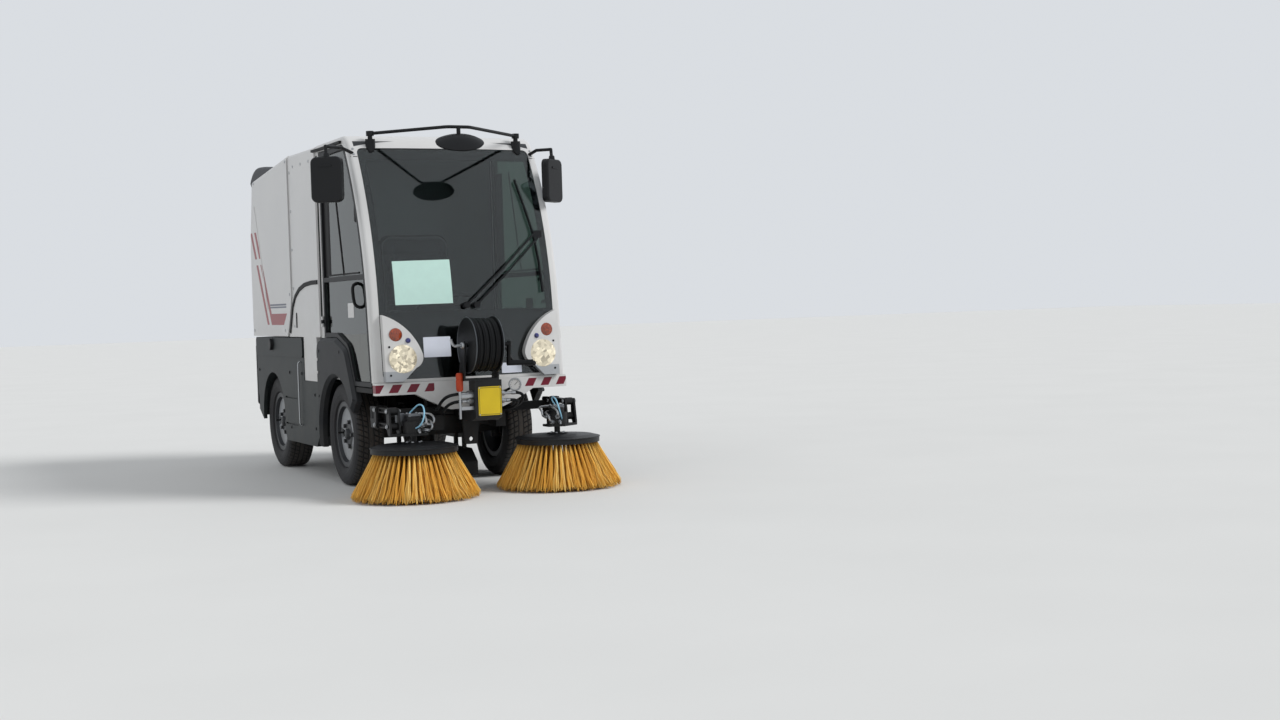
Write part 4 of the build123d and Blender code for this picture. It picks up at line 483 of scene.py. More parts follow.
zinc = metal("zinc_plated_steel", "#c4c6c8", 0.35, 2.0)
chrome_steel = metal("ground_steel", "#d2d3d5", 0.2, 3.0, (1, 1, 8))
rim_grey = moulded("rim_grey_enamel", "#2a2c2f", 3.0, 0.4, "#5a564e", 0.3, 0.6)
print("plated and ground steel")

# %% [markdown]
# The painted disc is told from the rim round it by the distance from the axle, and only its outer
# face is silver.

# %% Rim enamel
def spoked_rim(name, axle_y):
    """Dark enamel with the disc's spokes painted silver, by their distance from one axle."""
    material, tree, shader, place = finish(name, Roughness=0.4)
    part, radius = round_axle(tree, place, axle_y)
    outer = add(tree, "ShaderNodeMath", [part.outputs["X"]], operation="ABSOLUTE")
    outer = add(tree, "ShaderNodeMath", [outer, 0.4775], operation="GREATER_THAN")
    spokes = add(tree, "ShaderNodeMath", [between(tree, radius, 0.072, 0.150, 0.002), outer],
                 operation="MULTIPLY")
    mottle = add(tree, "ShaderNodeTexNoise", {"Vector": place, "Scale": 1000 / 80, "Detail": 4.0})
    dark = add(tree, "ShaderNodeMix", {"Factor": mottle, 6: "#232528", 7: "#303236"}, 2, data_type="RGBA")
    mottle = add(tree, "ShaderNodeTexNoise", {"Vector": place, "Scale": 1000 / 40, "Detail": 3.0})
    silver = add(tree, "ShaderNodeMix", {"Factor": mottle, 6: "#8d9094", 7: "#a6a9ac"}, 2, data_type="RGBA")
    silver = wear(tree, place, silver, "#6a655c", 0.05, 0.6, 0.7)
    feed(tree, shader, Base_Color=add(tree, "ShaderNodeMix", {"Factor": spokes, 6: dark, 7: silver}, 2,
                                      data_type="RGBA"))
    relief = add(tree, "ShaderNodeTexNoise", {"Vector": place, "Scale": 1000 / 3, "Detail": 3.0})
    feed(tree, shader, Normal=add(tree, "ShaderNodeBump", {"Height": relief, "Distance": 0.1 / 1000}))
    return material


for where, axle_y in axles:
    dress(spoked_rim(f"spoked_rim_enamel_{where}", axle_y), f"rim_{where}_left", f"rim_{where}_right")
dress(chrome_steel, "lift_barrel", "lift_rod")
dress(moulded("cast_iron_block", "#3c3d3e", 2.5, 0.6), "engine_block")
print("metals")

# %% [markdown]
# The hose on the reel is smooth black rubber with cloth under its skin, which prints a fine
# weave about 1.2 mm across, drawn at 3 mm.

# %% Hose rubber
material, tree, shader, place = finish("hose_rubber", Roughness=0.5, Specular_IOR_Level=0.2)
mottle = add(tree, "ShaderNodeTexNoise", {"Vector": place, "Scale": 1000 / 50, "Detail": 4.0})
feed(tree, shader, Base_Color=add(tree, "ShaderNodeMix", {"Factor": mottle, 6: "#0b0c0d", 7: "#151618"}, 2,
                                  data_type="RGBA"))
relief = add(tree, "ShaderNodeTexNoise", {"Vector": place, "Scale": 1000 / 3})
feed(tree, shader, Normal=add(tree, "ShaderNodeBump", {"Height": relief, "Distance": 0.15 / 1000}))
hose_rubber = material
dress(hose_rubber, "hose_reel")
dress(moulded("seat_shell_black", "#17181a", 2.0, 0.6, amount=0.0), "driver_seat")
dress(moulded("bristle_core", "#a8701f", 2.0, 0.7, amount=0.0), "bristles_left", "bristles_right")
print("hose, seat and brush cores")

# %% [markdown]
# Pieces too fine for the CAD model are meshes of their own. A few small makers cover them:
# a plate with a bevelled rim, a piece turned on a lathe, a tube along a smooth line and a flat
# strip on a surface. Their places come from rays cast at the CAD's faces, so each piece sits on
# what carries it.

# %% Places on the CAD's faces
def upright(origin, out):
    """Frame at origin with z pointing out and y as near to straight up as it can be."""
    out = Vector(out).normalized()
    across = Vector((0, 0, 1)).cross(out)
    across = across.normalized() if across.length > 1e-4 else Vector((1, 0, 0))
    spot = Matrix((across, out.cross(across), out)).transposed().to_4x4()
    spot.translation = Vector(origin)
    return spot


def skin(*names):
    """Faces of CAD nodes, ready for rays."""
    corners, faces = [], []
    for name in names:
        start = len(corners)
        corners += [v.co.copy() for v in nodes[name].data.vertices]
        faces += [[start + i for i in p.vertices] for p in nodes[name].data.polygons]
    return BVHTree.FromPolygons(corners, faces)


def onto(faces, start, towards, out=0.0):
    """Frame where a ray first meets the faces, out metres off them, with z along their normal."""
    spot, normal, _, _ = faces.ray_cast(Vector(start), Vector(towards))
    normal = -normal if normal.dot(Vector(towards)) > 0 else normal
    return upright(spot + normal * out, normal)


print("ray helpers ready")

# %% [markdown]
# Three sets of faces are enough. A helper for each casts its ray from outside, so a place needs
# only two numbers.

# %% Places on the side, the nose and the tail
side_skin = skin("cab_shell", "rear_cowl", "hopper_shell", "water_tanks", "front_mudguards", "door_left",
                 "door_right", "door_glass_left", "door_glass_right")
nose_skin = skin("headlamp_pods", "windscreen", "cab_shell", "bumper", "front_carrier")
tail_skin = skin("tail_panel", "tailgate", "tail_lamps", "hopper_hood")


def on_side(side, y, z, out=0.0):
    """Frame on the machine's side at a station and a height."""
    return onto(side_skin, (side * 1.2, y, z), (-side, 0, 0), out)


def on_nose(x, z, out=0.0):
    """Frame on the machine's front."""
    return onto(nose_skin, (x, -3, z), (0, 1, 0), out)


def on_tail(x, z, out=0.0):
    """Frame on the machine's tail."""
    return onto(tail_skin, (x, 3, z), (0, -1, 0), out)


print("front at the middle:", on_nose(0, 1.4).translation)

# %% [markdown]
# The makers write straight into a bmesh. A plate is an outline between two heights, and the cut
# at its upper rim is what catches the light on a real edge.

# %% Outlines and plates
def oblong(wide, tall, corner, steps=5):
    """Outline of a rounded rectangle about the origin."""
    spots = []
    for quarter, (right_left, up_down) in enumerate(((1, 1), (-1, 1), (-1, -1), (1, -1))):
        for step in range(steps + 1):
            turn = math.radians(90 * (quarter + step / steps))
            spots.append((right_left * (wide / 2 - corner) + corner * math.cos(turn),
                          up_down * (tall / 2 - corner) + corner * math.sin(turn)))
    return spots


def circle(radius, steps, middle=(0.0, 0.0)):
    """Points round a circle: a nut's corners, a row of bolts or the section of a rolled rim."""
    return [(middle[0] + radius * math.cos(math.tau * k / steps),
             middle[1] + radius * math.sin(math.tau * k / steps)) for k in range(steps)]


def plate(mesh, at, outline, low, high, edge=0.0):
    """Adds a plate between two heights over the plane of at, its upper rim cut by edge."""
    loops = []
    for height, inset in ((low, 0.0), (high - edge, 0.0), (high, edge)):
        loops.append([mesh.verts.new(at @ Vector((x - inset * x / max(math.hypot(x, y), 1e-6),
                                                  y - inset * y / max(math.hypot(x, y), 1e-6), height)))
                      for x, y in outline])
    for below, above in zip(loops, loops[1:]):
        for i in range(len(outline)):
            j = (i + 1) % len(outline)
            mesh.faces.new((below[i], below[j], above[j], above[i]))
    mesh.faces.new(list(reversed(loops[0])))
    mesh.faces.new(loops[-1])


print("corners of a rounded rectangle:", len(oblong(0.1, 0.1, 0.02)))

# %% [markdown]
# A turned piece is a row of radius and height pairs, repeated round an axis as on a lathe. A point
# on the axis stays one vertex, so the poles are closed.

# %% Turned pieces
def turned(mesh, at, profile, steps=32, ring=False):
    """Adds a piece turned round z of at, closed as a ring of (radius, height) pairs or on the axis."""
    loops = []
    for radius, height in profile:
        count = steps if radius > 1e-6 else 1
        loops.append([mesh.verts.new(at @ Vector((radius * math.cos(math.tau * i / count),
                                                  radius * math.sin(math.tau * i / count), height)))
                      for i in range(count)])
    for low, high in zip(loops, loops[1:] + loops[:1] if ring else loops[1:]):
        for i in range(steps):
            j = (i + 1) % steps
            corners = (low[i % len(low)], low[j % len(low)], high[j % len(high)], high[i % len(high)])
            mesh.faces.new(list(dict.fromkeys(corners)))


print("lathe ready")

# %% [markdown]
# Pipes follow a NURBS line through a few points. The section is carried along it without twist:
# each step keeps what stands square to the line of the direction before.

# %% Tubes
def smooth_line(route):
    """Points along a NURBS line that is drawn towards the route's points."""
    curve = bpy.data.curves.new("line", "CURVE")
    curve.dimensions = "3D"
    spline = curve.splines.new("NURBS")
    spline.points.add(len(route) - 1)
    for point, spot in zip(spline.points, route):
        point.co = (*spot, 1)
    spline.order_u = 3
    spline.use_endpoint_u = True
    spline.resolution_u = 6
    holder = bpy.data.objects.new("line", curve)
    spots = [v.co.copy() for v in bpy.data.meshes.new_from_object(holder).vertices]
    bpy.data.objects.remove(holder)
    return spots


def tube(mesh, route, radius, steps=10):
    """Adds a round tube along a smooth line."""
    spots = smooth_line(route)
    ahead = (spots[1] - spots[0]).normalized()
    across = ahead.orthogonal().normalized()
    loops = []
    for i, spot in enumerate(spots):
        run = (spots[min(i + 1, len(spots) - 1)] - spots[max(i - 1, 0)]).normalized()
        across = (across - run * across.dot(run)).normalized()
        up = run.cross(across)
        arms = [across * math.cos(math.tau * k / steps) + up * math.sin(math.tau * k / steps)
                for k in range(steps)]
        loops.append([mesh.verts.new(spot + arm * radius) for arm in arms])
    for low, high in zip(loops, loops[1:]):
        for k in range(steps):
            j = (k + 1) % steps
            mesh.faces.new((low[k], low[j], high[j], high[k]))
    mesh.faces.new(list(reversed(loops[0])))
    mesh.faces.new(loops[-1])


print("pipe bender ready")

# %% [markdown]
# Seals and trims are strips over a row of frames, a little narrower on top.

# %% Strips
def strip(mesh, frames, wide, thick):
    """Adds a flat strip that runs over a row of frames, each lying on a surface."""
    spots = [f.translation for f in frames]
    loops = []
    for i, at in enumerate(frames):
        run = (spots[min(i + 1, len(spots) - 1)] - spots[max(i - 1, 0)]).normalized()
        out = at.col[2].to_3d()
        across = run.cross(out).normalized() * wide / 2
        loops.append([mesh.verts.new(p) for p in (at.translation - across, at.translation + across,
                                                  at.translation + across * 0.85 + out * thick,
                                                  at.translation - across * 0.85 + out * thick)])
    for low, high in zip(loops, loops[1:]):
        for k in range(4):
            j = (k + 1) % 4
            mesh.faces.new((low[k], low[j], high[j], high[k]))
    mesh.faces.new(list(reversed(loops[0])))
    mesh.faces.new(loops[-1])


print("strips ready")

# %% [markdown]
# Last, a bmesh becomes a piece: its faces are turned outwards, its sharp edges are kept, and it is
# put on the body that carries it.

# %% Finished pieces
def shown(name, mesh, material, body, sharp=35):
    """Turns a bmesh into a visible piece: outward faces, its material and the body that carries it."""
    bmesh.ops.remove_doubles(mesh, verts=mesh.verts, dist=1e-6)
    bmesh.ops.recalc_face_normals(mesh, faces=mesh.faces)
    data = bpy.data.meshes.new(name)
    mesh.to_mesh(data)
    mesh.free()
    data.shade_smooth()
    data.set_sharp_from_angle(angle=math.radians(sharp))
    data.materials.append(material)
    holder = bpy.data.objects.new(name, data)
    scene.collection.objects.link(holder)
    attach(holder, body)
    return holder


print("makers ready")

# %% [markdown]
# What repeats by the dozen is grown by a Geometry Nodes tree: bristles, screws and nuts. A tree
# is an ordinary graph with named inputs for its sizes. It runs once on a small source mesh, and
# its result is kept as a plain mesh, so nothing has to be grown again when a body moves.

# %% Helpers for geometry trees
def new_tree(name, **inputs):
    """A geometry tree with named inputs, and its two end nodes."""
    tree = bpy.data.node_groups.new(name, "GeometryNodeTree")
    kinds = {int: "NodeSocketInt", float: "NodeSocketFloat", bpy.types.Material: "NodeSocketMaterial"}
    tree.interface.new_socket("Geometry", in_out="INPUT", socket_type="NodeSocketGeometry")
    for label, value in inputs.items():
        kind = kinds[type(value)]
        socket = tree.interface.new_socket(label.replace("_", " "), in_out="INPUT", socket_type=kind)
        socket.default_value = value
    tree.interface.new_socket("Geometry", in_out="OUTPUT", socket_type="NodeSocketGeometry")
    return tree, tree.nodes.new("NodeGroupInput").outputs, tree.nodes.new("NodeGroupOutput")


def grown(name, tree, source, body, slot, **inputs):
    """Runs a tree on a source mesh and keeps the result as a plain piece on a body."""
    seed = bpy.data.objects.new(name, source)
    scene.collection.objects.link(seed)
    modifier = seed.modifiers.new("grow", "NODES")
    modifier.node_group = tree
    for socket in tree.interface.items_tree:
        if socket.in_out == "INPUT" and socket.name.replace(" ", "_") in inputs:
            modifier[socket.identifier] = inputs[socket.name.replace(" ", "_")]
    ready = seed.evaluated_get(bpy.context.evaluated_depsgraph_get())
    data = bpy.data.meshes.new_from_object(ready)
    data.name = name
    bpy.data.objects.remove(seed)
    holder = bpy.data.objects.new(name, data)
    scene.collection.objects.link(holder)
    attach(holder, body)
    print(name, len(data.polygons), "faces")
    return holder


# %% [markdown]
# A gutter brush is a plastic disc with tufts of polypropylene bristle stapled in, 22 hairs to a
# tuft, in three rows that lean out at growing angles. One point stands for each hair. Its
# number says which tuft it is in, the tuft says the angle and the row, and a little chance
# spreads the hairs of one tuft so that they fan at the floor. A straight line is put on each
# point, bent by slow noise so that neighbours lean together, and skinned with a thin round.

# %% Bristle material
material, tree, shader, place = finish("polypropylene_bristle", Roughness=0.5)
tint = add(tree, "ShaderNodeAttribute", out="Fac", attribute_name="tint")
ramp = add(tree, "ShaderNodeValToRGB", {"Fac": tint}, None)
stops = ((0.0, "#8f5f20"), (0.35, "#d99c38"), (0.7, "#f7c052"), (1.0, "#ffe08a"))
marks = ramp.color_ramp.elements
while len(marks) < len(stops):
    marks.new(0.5)
for mark, (at, code) in zip(marks, stops):
    mark.position = at
    mark.color = linear(code)
hair = ramp.outputs["Color"]
height = add(tree, "ShaderNodeSeparateXYZ", [place], "Z")
dirt = add(tree, "ShaderNodeMapRange", {"Value": height, "From Min": 0.0, "From Max": 0.050, "To Min": 0.45,
                                        "To Max": 0.0})
patches = add(tree, "ShaderNodeTexNoise", {"Vector": place, "Scale": 1000 / 14, "Detail": 3.0})
dirt = add(tree, "ShaderNodeMath", [dirt, patches], operation="MULTIPLY")
root_shade = add(tree, "ShaderNodeMapRange", {"Value": height, "From Min": 0.205, "From Max": 0.245,
                                              "To Min": 0.0, "To Max": 0.6})
dirt = add(tree, "ShaderNodeMath", [dirt, 1.6], operation="MULTIPLY", use_clamp=True)
hair = add(tree, "ShaderNodeMix", {"Factor": dirt, 6: hair, 7: "#5a4a34"}, 2, data_type="RGBA")
feed(tree, shader, Base_Color=add(tree, "ShaderNodeMix", {"Factor": root_shade, 6: hair, 7: "#3a2208"}, 2,
                                  data_type="RGBA"))
bristle_plastic = material
print("bristle plastic")

# %% [markdown]
# The tree counts its hairs and works out where each root and tip stands. Random values with seeds
# of their own move them a little, so the brush is the same at every run.

# %% Bristle tree
tree, given, end = new_tree("gutter_brush_bristles", Tufts=162, Hairs=22, Root_radius=0.148,
                            Root_height=0.2437, Tip_radius=0.262, Row_step=0.027, Hair_radius=0.0015,
                            Centre_x=0.0, Centre_y=0.0, Finish=bristle_plastic)


def polar_place(radius, angle, height):
    """Output of a place from its radius, angle and height."""
    x = add(tree, "ShaderNodeMath", [radius, add(tree, "ShaderNodeMath", [angle], operation="COSINE")],
            operation="MULTIPLY")
    y = add(tree, "ShaderNodeMath", [radius, add(tree, "ShaderNodeMath", [angle], operation="SINE")],
            operation="MULTIPLY")
    return add(tree, "ShaderNodeCombineXYZ", {"X": x, "Y": y, "Z": height})


print("tree inputs:", len(given))

# %% [markdown]
# A hair's number over the hairs of a tuft is its tuft. The tuft gives its angle and its row, and
# the row how far out it stands and leans.

# %% Roots and tips
number = add(tree, "GeometryNodeInputIndex")
tuft = add(tree, "ShaderNodeMath", [add(tree, "ShaderNodeMath", [number, given["Hairs"]],
                                        operation="DIVIDE")], operation="FLOOR")
row = add(tree, "ShaderNodeMath", [tuft, 3.0], operation="MODULO")
turn = add(tree, "ShaderNodeMath", [math.tau, given["Tufts"]], operation="DIVIDE")
turn = add(tree, "ShaderNodeMath", [tuft, turn], operation="MULTIPLY")
root_turn = add(tree, "ShaderNodeMath", [turn, add(tree, "FunctionNodeRandomValue",
                                                   {2: -0.010, 3: 0.010, "Seed": 1}, 1, data_type="FLOAT")],
                operation="ADD")
tip_turn = add(tree, "ShaderNodeMath", [turn, add(tree, "FunctionNodeRandomValue",
                                                  {2: -0.050, 3: 0.050, "Seed": 2}, 1, data_type="FLOAT")],
               operation="ADD")
root_radius = add(tree, "ShaderNodeMath", [given["Root radius"], add(tree, "ShaderNodeMath", [row, 0.030],
        operation="MULTIPLY")], operation="ADD")
root_radius = add(tree, "ShaderNodeMath", [root_radius, add(tree, "FunctionNodeRandomValue",
                                                            {2: -0.005, 3: 0.005, "Seed": 3}, 1,
                                                            data_type="FLOAT")], operation="ADD")
tip_radius = add(tree, "ShaderNodeMath", [row, given["Row step"]], operation="MULTIPLY")
tip_radius = add(tree, "ShaderNodeMath", [given["Tip radius"], tip_radius], operation="ADD")
tip_radius = add(tree, "ShaderNodeMath", [tip_radius, add(tree, "FunctionNodeRandomValue",
                                                          {2: -0.016, 3: 0.020, "Seed": 4}, 1,
                                                          data_type="FLOAT")], operation="ADD")
root = polar_place(root_radius, root_turn, given["Root height"])
tip = polar_place(tip_radius, tip_turn, add(tree, "FunctionNodeRandomValue", {2: 0.004, 3: 0.032, "Seed": 5},
                                            1, data_type="FLOAT"))
reach = add(tree, "ShaderNodeVectorMath", {0: tip, 1: root}, operation="SUBTRACT")
length = add(tree, "ShaderNodeVectorMath", {0: reach}, "Value", operation="LENGTH")
count = add(tree, "ShaderNodeMath", [given["Tufts"], given["Hairs"]], operation="MULTIPLY")
hairs = add(tree, "GeometryNodePoints", {"Count": count, "Position": root})
tints = add(tree, "ShaderNodeMath", [add(tree, "FunctionNodeRandomValue", {2: 0.0, 3: 1.0, "Seed": 6}, 1,
                                         data_type="FLOAT"), 0.40], operation="MULTIPLY")
tuft_tint = add(tree, "ShaderNodeMath", [add(tree, "ShaderNodeMath", [tuft, 0.618], operation="MULTIPLY")],
                operation="FRACT")
tuft_tint = add(tree, "ShaderNodeMath", [tuft_tint, 0.25], operation="MULTIPLY")
tints = add(tree, "ShaderNodeMath", [tints, tuft_tint], operation="ADD")
tints = add(tree, "ShaderNodeMath", [tints, add(tree, "ShaderNodeMath", [row, 0.175], operation="MULTIPLY")],
            operation="ADD")
hairs = add(tree, "GeometryNodeStoreNamedAttribute", {"Geometry": hairs, "Name": "tint", "Value": tints},
            data_type="FLOAT", domain="POINT")
print("hair points")

# %% [markdown]
# One straight line of unit length stands on every point, turned towards its tip and stretched to
# reach it.

# %% Hairs on their points
straight = add(tree, "GeometryNodeCurvePrimitiveLine", {"End": (0, 0, 1)})
straight = add(tree, "GeometryNodeResampleCurve", {"Curve": straight, "Count": 5})
lean = add(tree, "FunctionNodeAlignRotationToVector", {"Vector": reach}, axis="Z")
size = add(tree, "ShaderNodeCombineXYZ", {"X": 1.0, "Y": 1.0, "Z": length})
hairs = add(tree, "GeometryNodeInstanceOnPoints", {"Points": hairs, "Instance": straight, "Rotation": lean,
                                                   "Scale": size})
hairs = add(tree, "GeometryNodeRealizeInstances", {"Geometry": hairs})
print("hairs stand")

# %% [markdown]
# Slow noise sways the hairs, more towards the tip, and a four-sided round that thins out skins
# them.

# %% Bend and skin
along = add(tree, "GeometryNodeSplineParameter", out="Factor")
here = add(tree, "GeometryNodeInputPosition")
sway = add(tree, "ShaderNodeTexNoise", {"Vector": here, "Scale": 22.0, "Detail": 2.0}, "Color")
sway = add(tree, "ShaderNodeVectorMath", {0: sway, 1: (0.5, 0.5, 0.5)}, operation="SUBTRACT")
sway = add(tree, "ShaderNodeVectorMath", {0: sway, 1: (0.055, 0.055, 0.0)}, operation="MULTIPLY")
grows = add(tree, "ShaderNodeMath", [along, along], operation="MULTIPLY")
sway = add(tree, "ShaderNodeVectorMath", {0: sway, "Scale": grows}, operation="SCALE")
hairs = add(tree, "GeometryNodeSetPosition", {"Geometry": hairs, "Offset": sway})
thins = add(tree, "ShaderNodeMath", [1.0, add(tree, "ShaderNodeMath", [along, 0.35], operation="MULTIPLY")],
            operation="SUBTRACT")
hairs = add(tree, "GeometryNodeSetCurveRadius", {"Curve": hairs, "Radius": thins})
section = add(tree, "GeometryNodeCurvePrimitiveCircle", {"Resolution": 4, "Radius": given["Hair radius"]})
hairs = add(tree, "GeometryNodeCurveToMesh", {"Curve": hairs, "Profile Curve": section, "Fill Caps": True})
middle = add(tree, "ShaderNodeCombineXYZ", {"X": given["Centre x"], "Y": given["Centre y"], "Z": 0.0})
hairs = add(tree, "GeometryNodeTransform", {"Geometry": hairs, "Translation": middle})
hairs = add(tree, "GeometryNodeSetShadeSmooth", {"Geometry": hairs, "Shade Smooth": True})
hairs = add(tree, "GeometryNodeRealizeInstances", {"Geometry": hairs})
hairs = add(tree, "GeometryNodeSetMaterial", {"Geometry": hairs, "Material": given["Finish"]})
tree.links.new(hairs, end.inputs[0])
print("bristle tree:", len(tree.nodes), "nodes")

# %% [markdown]
# One tree grows both brushes. Only the centre differs, and it is read from the solid core that
# the tufts stand for.

# %% Grow the bristles
for name, side in sides:
    low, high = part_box(f"bristles_{name}")
    brush = grown(f"brush_bristles_{name}", tree, bpy.data.meshes.new("seed"), f"brush_{name}", "bristle",
                  Centre_x=(low.x + high.x) / 2, Centre_y=(low.y + high.y) / 2)
    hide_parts(f"bristles_{name}")

# %% [markdown]
# Screws, nuts and bolts share one tree. Its source is a mesh of loose points that carry the way
# each one faces, and it stands a turned head on a washer at every point. Six sides make a nut,
# sixteen a round-headed screw.

# %% Fastener tree
tree, given, end = new_tree("fasteners", Sides=6, Head_radius=0.008, Head_height=0.006, Washer_radius=0.012,
                            Finish=zinc)
head = add(tree, "GeometryNodeMeshCylinder", {"Vertices": given["Sides"], "Radius": given["Head radius"],
                                              "Depth": given["Head height"]})
lift = add(tree, "ShaderNodeCombineXYZ", {"Z": add(tree, "ShaderNodeMath", [given["Head height"], 0.5],
                                                   operation="MULTIPLY")})
head = add(tree, "GeometryNodeTransform", {"Geometry": head, "Translation": lift})
top = add(tree, "ShaderNodeMath", [given["Washer radius"], 0.9], operation="MULTIPLY")
washer = add(tree, "GeometryNodeMeshCone", {"Vertices": 20, "Radius Bottom": given["Washer radius"],
                                            "Radius Top": top, "Depth": 0.0022})
both = add(tree, "GeometryNodeJoinGeometry", out=None)
tree.links.new(head, both.inputs[0])
tree.links.new(washer, both.inputs[0])
loose = add(tree, "GeometryNodeMeshToPoints", {"Mesh": given["Geometry"]})
way = add(tree, "GeometryNodeInputNamedAttribute", {"Name": "facing"}, data_type="FLOAT_VECTOR")
lean = add(tree, "FunctionNodeAlignRotationToVector", {"Vector": way}, axis="Z")
stood = add(tree, "GeometryNodeInstanceOnPoints", {"Points": loose, "Instance": both.outputs[0],
                                                   "Rotation": lean})
stood = add(tree, "GeometryNodeRealizeInstances", {"Geometry": stood})
stood = add(tree, "GeometryNodeSetMaterial", {"Geometry": stood, "Material": given["Finish"]})
tree.links.new(stood, end.inputs[0])
fastener_tree = tree


def fasteners(name, frames, body, slot="steel", **inputs):
    """A fastener at each frame, standing along its z."""
    source = bpy.data.meshes.new(name)
    source.from_pydata([f.translation for f in frames], [], [])
    facing = source.attributes.new("facing", "FLOAT_VECTOR", "POINT")
    facing.data.foreach_set("vector", [value for f in frames for value in f.col[2].to_3d()])
    return grown(name, fastener_tree, source, body, slot, **inputs)


# %% [markdown]
# Each wheel is held by five nuts on a circle of 144 mm, round a pressed steel cap that keeps the
# grease in. A valve stands in one window of the rim.

# %% Wheel nuts, hub caps and valves
for where, axle_y in axles:
    for name, side in sides:
        low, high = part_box(f"rim_{where}_{name}")
        middle_x = (low.x + high.x) / 2
        out = Vector((side, 0, 0))
        hub = upright((middle_x + side * 0.046, axle_y, axle_height), out)
        frames = [hub @ Matrix.Translation((x, y, -0.004)) for x, y in circle(0.072, 5)]
        fasteners(f"wheel_nuts_{where}_{name}", frames, f"{where}_wheel_{name}", Head_radius=0.0115,
                  Head_height=0.015, Washer_radius=0.0145, Finish=rim_grey)
        mesh = bmesh.new()
        turned(mesh, hub, [(0, 0.020), (0.016, 0.0195), (0.026, 0.016), (0.031, 0.006), (0.033, 0),
                           (0.036, -0.002), (0.036, -0.008), (0, -0.008)])
        shown(f"hub_cap_{where}_{name}", mesh, rim_grey, f"{where}_wheel_{name}")
        mesh = bmesh.new()
        valve = upright((middle_x + side * 0.040, axle_y + 0.150, axle_height), out)
        turned(mesh, valve, [(0, 0.024), (0.0045, 0.024), (0.0045, 0.012), (0.0035, 0.010), (0.005, 0),
                             (0.006, -0.012), (0, -0.012)], steps=12)
        shown(f"tyre_valve_{where}_{name}", mesh, black_plastic, f"{where}_wheel_{name}")
print("wheels dressed")

# %% [markdown]
# The windscreen is bonded to the cab. Round its rim, and over its whole foot where the dashboard
# stands, a black ceramic band is fired on the inside of the glass to hide the glue. Fired, it is
# even and half gloss. It is a copy of
# the pane's outer face, merged, moved in behind the glass and cut so that only the rim is left.

# %% Ceramic band of the windscreen
frit, tree, shader, place = finish("fired_black_ceramic", Roughness=0.5, Specular_IOR_Level=0.2)
mottle = add(tree, "ShaderNodeTexNoise", {"Vector": place, "Scale": 1000 / 30, "Detail": 3.0})
feed(tree, shader, Base_Color=add(tree, "ShaderNodeMix", {"Factor": mottle, 6: "#08090a", 7: "#0c0e10"}, 2,
                                  data_type="RGBA"))
band = bmesh.new()
band.from_mesh(nodes["windscreen"].data)
bmesh.ops.remove_doubles(band, verts=band.verts, dist=1e-5)
band.normal_update()
bmesh.ops.delete(band, geom=[f for f in band.faces if f.normal.y > -0.3], context="FACES")
for vertex in band.verts:
    vertex.co -= vertex.normal * 0.0080
view_low, view_high, view_half = 0.972, 1.800, 0.462
for cut, way in (((0, 0, view_low), (0, 0, 1)), ((0, 0, view_high), (0, 0, 1)),
                 ((view_half, 0, 0), (1, 0, 0)), ((-view_half, 0, 0), (1, 0, 0))):
    bmesh.ops.bisect_plane(band, geom=band.verts[:] + band.edges[:] + band.faces[:], plane_co=cut,
                           plane_no=way)
view = [f for f in band.faces if view_low < f.calc_center_median().z < view_high
        and abs(f.calc_center_median().x) < view_half]
bmesh.ops.delete(band, geom=view, context="FACES")
bmesh.ops.solidify(band, geom=band.faces[:], thickness=0.0010)
shown("windscreen_band", band, frit, "root", sharp=60)
print("windscreen band")

# %% [markdown]
# Rubber profiles close every gap on the cab: a gutter over each door, a black filler behind the
# upper pane, the edge of the sliding pane, and a curved black strip where the cab meets the cowl,
# partly a trim and partly painted shadow of the seam's gap. Each is a strip laid over frames that rays find
# on the body's side.

